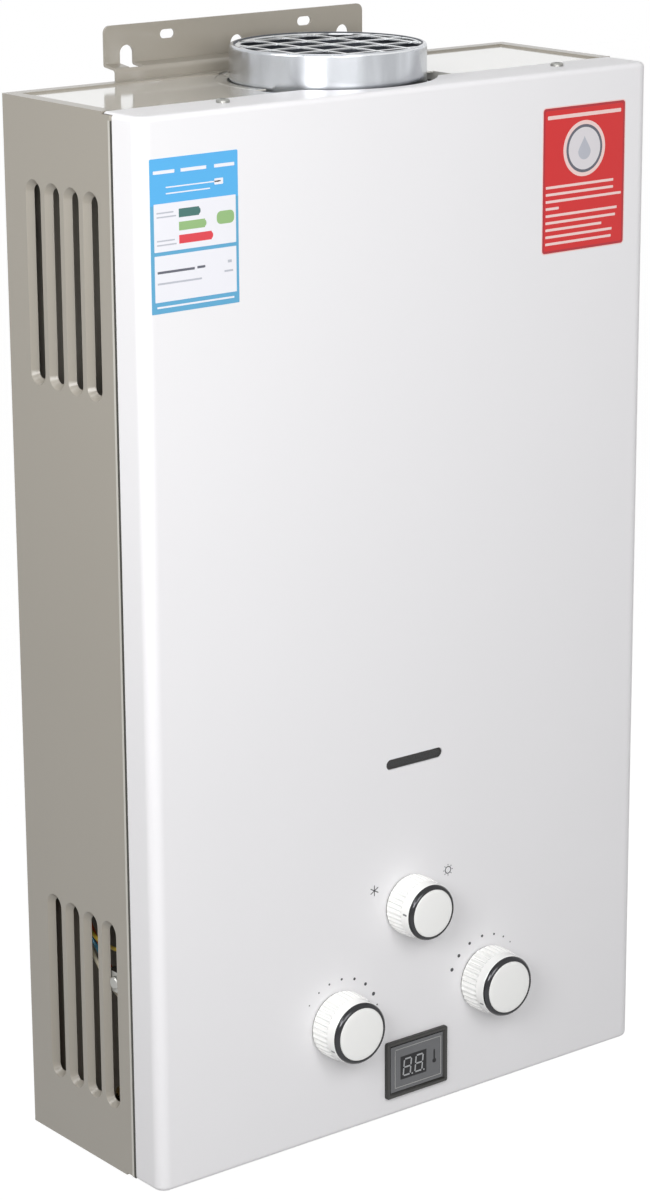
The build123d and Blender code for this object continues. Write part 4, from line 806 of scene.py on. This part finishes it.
# %% Roll the lip of the notch behind the collar
lip_level, lip_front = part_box("top_panel")[1].z, 14 * MM
lip = turned(
    "notch_lip",
    [(56.4, -0.7), (63.0, -0.7), (63.0, 0.06), (57.2, 0.06), (56.6, -0.2), (56.4, -0.7)],
    segments=96, close_ends=False,
)
bpy.ops.object.mode_set(mode="EDIT")
bpy.ops.mesh.select_all(action="SELECT")
bpy.ops.mesh.bisect(
    plane_co=(0, -lip_front, 0), plane_no=(0, 1, 0), use_fill=True, clear_inner=True
)
bpy.ops.object.mode_set(mode="OBJECT")
put(coloured(lip, top_paint), Matrix.Translation((collar_x, collar_y, lip_level)))
seated(lip, "heater")

# %% Paint the shade of the cross recess on the cover's screws
recess_shadow_paint = finish("recess_shadow", coat_skin, srgb(74, 74, 72), 0.5, drift=0.1)
screw_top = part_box("case_screws")[1].z
screw_depth = 106.5
recess_shadows = []
for x in (-108.0, 123.0):
    stand = Matrix.Translation((x * MM, (-wall_gap - screw_depth) * MM, screw_top))
    for turn in (20, 110):
        bar = plate("recess", 3.6, 0.7, 0.08, corner=0.2, steps=2)
        recess_shadows.append(put(coloured(bar, recess_shadow_paint), stand @ spun(turn)))
seated(joined("screw_recess_shadows", recess_shadows), "heater")

# %% Paint the joint's shadow and the highlight on the case's edge
# A dark strip is painted shadow in the joint between case and cover, and a pale strip beside it is
# a painted highlight on the case's rolled edge.
joint_shadow_paint = finish("joint_shadow", coat_skin, srgb(52, 50, 44), 0.6, drift=0.1)
edge_highlight_paint = finish("rolled_edge_highlight", coat_skin, srgb(196, 193, 184), 0.22, drift=0.04, coat=0.5)
side_half = case_box[1][0] / MM
joint_depth, joint_tall, strip_wide, strip_thick = 102.5, 585.0, 1.7, 0.4
middle_level = height(joint_tall / 2 + 1.0)
strips = []
for side in (-1, 1):
    for depth, proud, material in (
        (joint_depth - 0.8, 0.12, joint_shadow_paint), (joint_depth - 2.6, 0.2, edge_highlight_paint)
    ):
        strip = plate("strip", joint_tall, strip_wide, strip_thick, corner=0.3, steps=2)
        out = side * (side_half - strip_thick + proud) * MM
        stand = Matrix.Translation((out, (-wall_gap - depth) * MM, middle_level))
        strips.append(put(coloured(strip, material), stand @ spun(side * 90, "Y")))
seated(joined("joint_shadow_and_edge_highlight", strips), "heater")
print("small metal pieces done")

# %% [markdown]
# ## Two stickers
# A blue sticker with white fields and coloured bars stands at the upper left, and a red one with a
# round white field at the upper right. They carry no words: plain bars and a drop take the place of
# print. Each is a vinyl plate with thinner layers of colour on it, joined to one piece that keeps a
# finish for each colour.

# %% Helpers for stickers
def vinyl(name, red, green, blue, roughness=0.32):
    """A smooth printed film of one colour."""
    return finish(
        name, coat_skin, srgb(red, green, blue), roughness,
        drift=0.02, relief=0.06, coat=0.25, Ripple=700.0,
    )


layer = 0.05


def field(sticker, left, top, width, tall, material, level=1, corner=0.3, steps=4):
    """A patch of colour, its place and size in shares of the sticker from its top left."""
    x0, x1, z0, z1 = sticker
    wide, high = (x1 - x0), (z1 - z0)
    patch = plate("patch", width * wide, tall * high, layer, corner=corner, steps=steps)
    x = x0 + (left + width / 2) * wide
    z = z1 - (top + tall / 2) * high
    return put(coloured(patch, material), to_front(x * MM, height(z), proud=level * layer))


# %% The blue sticker
sky = vinyl("blue_vinyl", 84, 178, 236)
steel_blue = vinyl("deep_blue_vinyl", 92, 168, 208)
white_film = vinyl("white_vinyl", 240, 240, 246)
teal = vinyl("teal_print", 62, 112, 106)
leaf = vinyl("green_print", 148, 186, 124)
poppy = vinyl("red_print", 222, 62, 74)
rule_grey = vinyl("grey_print", 188, 190, 200)
rule_dark = vinyl("dark_print", 96, 98, 110)

# The sticker's left, right, foot and top in millimetres on the cover.
blue_area = (-169.0, -113.5, 489.0, 568.5)
blue = [
    field(blue_area, 0.0, 0.0, 1.0, 1.0, sky, level=0, corner=0.8),
    field(blue_area, 0.0, 0.3, 1.0, 0.7, steel_blue, corner=0.4),
    field(blue_area, 0.04, 0.29, 0.93, 0.31, white_film, level=2),
    field(blue_area, 0.04, 0.625, 0.93, 0.3, white_film, level=2),
    field(blue_area, 0.18, 0.185, 0.62, 0.008, white_film, corner=0.1),
    field(blue_area, 0.18, 0.225, 0.5, 0.008, white_film, corner=0.1),
    field(blue_area, 0.73, 0.17, 0.1, 0.04, white_film, corner=0.4),
    field(blue_area, 0.06, 0.953, 0.88, 0.012, white_film, level=2, corner=0.1),
]
for start, length in ((0.04, 0.24), (0.35, 0.29), (0.73, 0.23)):
    blue.append(field(blue_area, start, 0.078, length, 0.022, white_film, corner=0.25))
bar_start = 0.32
for top, length, ink in ((0.335, 0.23, teal), (0.42, 0.295, leaf), (0.505, 0.37, poppy)):
    tip = bar_start + length - 0.06
    blue.append(field(blue_area, bar_start, top, length, 0.056, ink, level=3, corner=0.2))
    blue.append(field(blue_area, tip, top + 0.006, 0.075, 0.044, ink, level=4, corner=1.5))
blue.append(field(blue_area, 0.75, 0.385, 0.2, 0.085, leaf, level=3, corner=2.6))
for left, top, length, tall, ink in (
    (0.07, 0.345, 0.19, 0.009, rule_grey), (0.07, 0.372, 0.22, 0.009, rule_grey),
    (0.07, 0.525, 0.2, 0.009, rule_grey), (0.07, 0.552, 0.22, 0.009, rule_grey),
    (0.07, 0.725, 0.42, 0.016, rule_dark), (0.52, 0.722, 0.09, 0.016, rule_dark),
    (0.07, 0.8, 0.5, 0.012, rule_grey), (0.87, 0.71, 0.045, 0.018, rule_grey),
    (0.83, 0.775, 0.1, 0.012, rule_grey),
):
    blue.append(field(blue_area, left, top, length, tall, ink, level=3, corner=0.15, steps=2))
seated(joined("blue_sticker", blue), "heater")

# %% The red sticker
red_vinyl = vinyl("red_vinyl", 214, 26, 28)
red_edge = vinyl("red_border", 180, 30, 42)
pink_print = vinyl("pale_print", 246, 214, 210)
disc_grey = vinyl("disc_vinyl", 226, 222, 226)
red_area = (96.2, 157.0, 489.6, 570.2)
red = [
    field(red_area, -0.01, -0.008, 1.02, 1.016, pink_print, level=0, corner=2.2, steps=8),
    field(red_area, 0.0, 0.0, 1.0, 1.0, red_edge, corner=1.8, steps=8),
    field(red_area, 0.022, 0.017, 0.956, 0.966, red_vinyl, level=2, corner=1.2, steps=8),
    field(red_area, 0.05, 0.052, 0.9, 0.026, pink_print, level=3, corner=0.4),
]
disc_x, disc_z = 126.6, 546.0
disc_stand = to_front(disc_x * MM, height(disc_z), proud=3 * layer)
for radius, level, ink in ((15.6, 0, pink_print), (13.4, 1, rule_dark), (11.8, 2, disc_grey)):
    disc = turned("disc", [(radius, level * layer), (radius, (level + 1) * layer)], segments=72)
    red.append(put(coloured(disc, ink), disc_stand))

# A drop is a disc whose upper half is drawn in towards a point and stretched.
drop_radius, drop_power, drop_stretch, drop_down = 4.6, 1.3, 1.9, 1.6
drop = turned("drop", [(drop_radius, 0.0), (drop_radius, layer)], segments=48)
for vertex in drop.data.vertices:
    if vertex.co.y > 0:
        vertex.co.x *= 1 - (vertex.co.y / (drop_radius * MM)) ** drop_power
        vertex.co.y *= drop_stretch
drop_place = Matrix.Translation((0, -drop_down * MM, 3 * layer * MM))
red.append(put(coloured(drop, rule_grey), disc_stand @ drop_place))
line_top, line_pitch, line_tall = 0.535, 0.049, 0.018
line_lengths = (0.83, 0.83, 0.93, 0.16, 0.88, 0.86, 0.69, 0.82, 0.81)
for row, length in enumerate(line_lengths):
    top = line_top + line_pitch * row
    red.append(field(red_area, 0.035, top, length, line_tall, pink_print, level=3, corner=0.3))
seated(joined("red_sticker", red), "heater")
print("stickers done")

# %% [markdown]
# ## The display
# Behind its frame the display is a grey panel with a fine line round it, and a black block with two
# seven-segment digits, seen unlit. A small thermometer stands beside them as the sign for degrees.
# The panel is a block that stands a little proud of the cover, under the lens, and every line and
# segment is a thin patch on it.

# %% Print the display's panel and digits
display_centre, panel_rise = (6.3, 29.3), 1.6
panel_grey = vinyl("panel_grey", 92, 93, 96, roughness=0.2)
panel_line = vinyl("panel_line", 158, 158, 156)
block_black = finish("block_black", coat_skin, srgb(8, 8, 12), 0.7)
digit_pale = vinyl("digit_pale", 172, 174, 176, roughness=0.6)


def shown(x, z, wide, tall, material, level=1, corner=0.15, turn=0.0):
    """A patch on the display, at millimetres from its middle."""
    patch = plate("patch", wide, tall, layer, corner=corner, steps=2)
    across, up = display_centre[0] + x, display_centre[1] + z
    stand = to_front(across * MM, height(up), proud=panel_rise + level * layer)
    return put(coloured(patch, material), stand @ spun(turn))


block = coloured(plate("plinth", 37.2, 26.7, panel_rise, corner=0.4), panel_grey)
panel = [
    put(block, to_front(5.4 * MM, height(display_centre[1]))),
    shown(-0.9, 0, 38.8, 28.2, panel_grey, level=0),
    shown(-3.4, -0.4, 19.3, 14.2, block_black),
]
frame_half_wide, frame_half_tall, line_wide = 17.0, 11.8, 0.45
for side in (-1, 1):
    panel.append(shown(0, -side * frame_half_tall, 34.4, line_wide, panel_line, corner=0.1))
for side in (-1, 1):
    panel.append(shown(side * frame_half_wide, 0, line_wide, 24.0, panel_line, corner=0.1))

# Each digit leans to the right by a tenth of its height.
digit_down, digit_lean, segment_half, segment_rise, stroke = 0.4, 0.1, 2.6, 2.5, 0.9
for digit_x in (-8.0, 0.7):
    for z in (-2 * segment_rise, 0.0, 2 * segment_rise):
        x = digit_x + digit_lean * z
        panel.append(shown(x, z - digit_down, 4.4, stroke, digit_pale, level=2, corner=0.3))
    for side in (-segment_half, segment_half):
        for z in (-segment_rise, segment_rise):
            x = digit_x + side + digit_lean * z
            bar = shown(x, z - digit_down, stroke, 4.1, digit_pale, level=2, corner=0.3, turn=-6)
            panel.append(bar)
    panel.append(shown(digit_x + 3.6, -5.6, 1.0, 1.0, digit_pale, level=2, corner=0.4))

thermometer_x = 12.2
panel.append(shown(thermometer_x, 1.6, 1.1, 6.4, block_black, corner=0.4))
panel.append(shown(thermometer_x, -2.2, 2.8, 2.8, block_black, level=2, corner=1.35))
seated(joined("display_panel", panel), "heater")
print("display done")
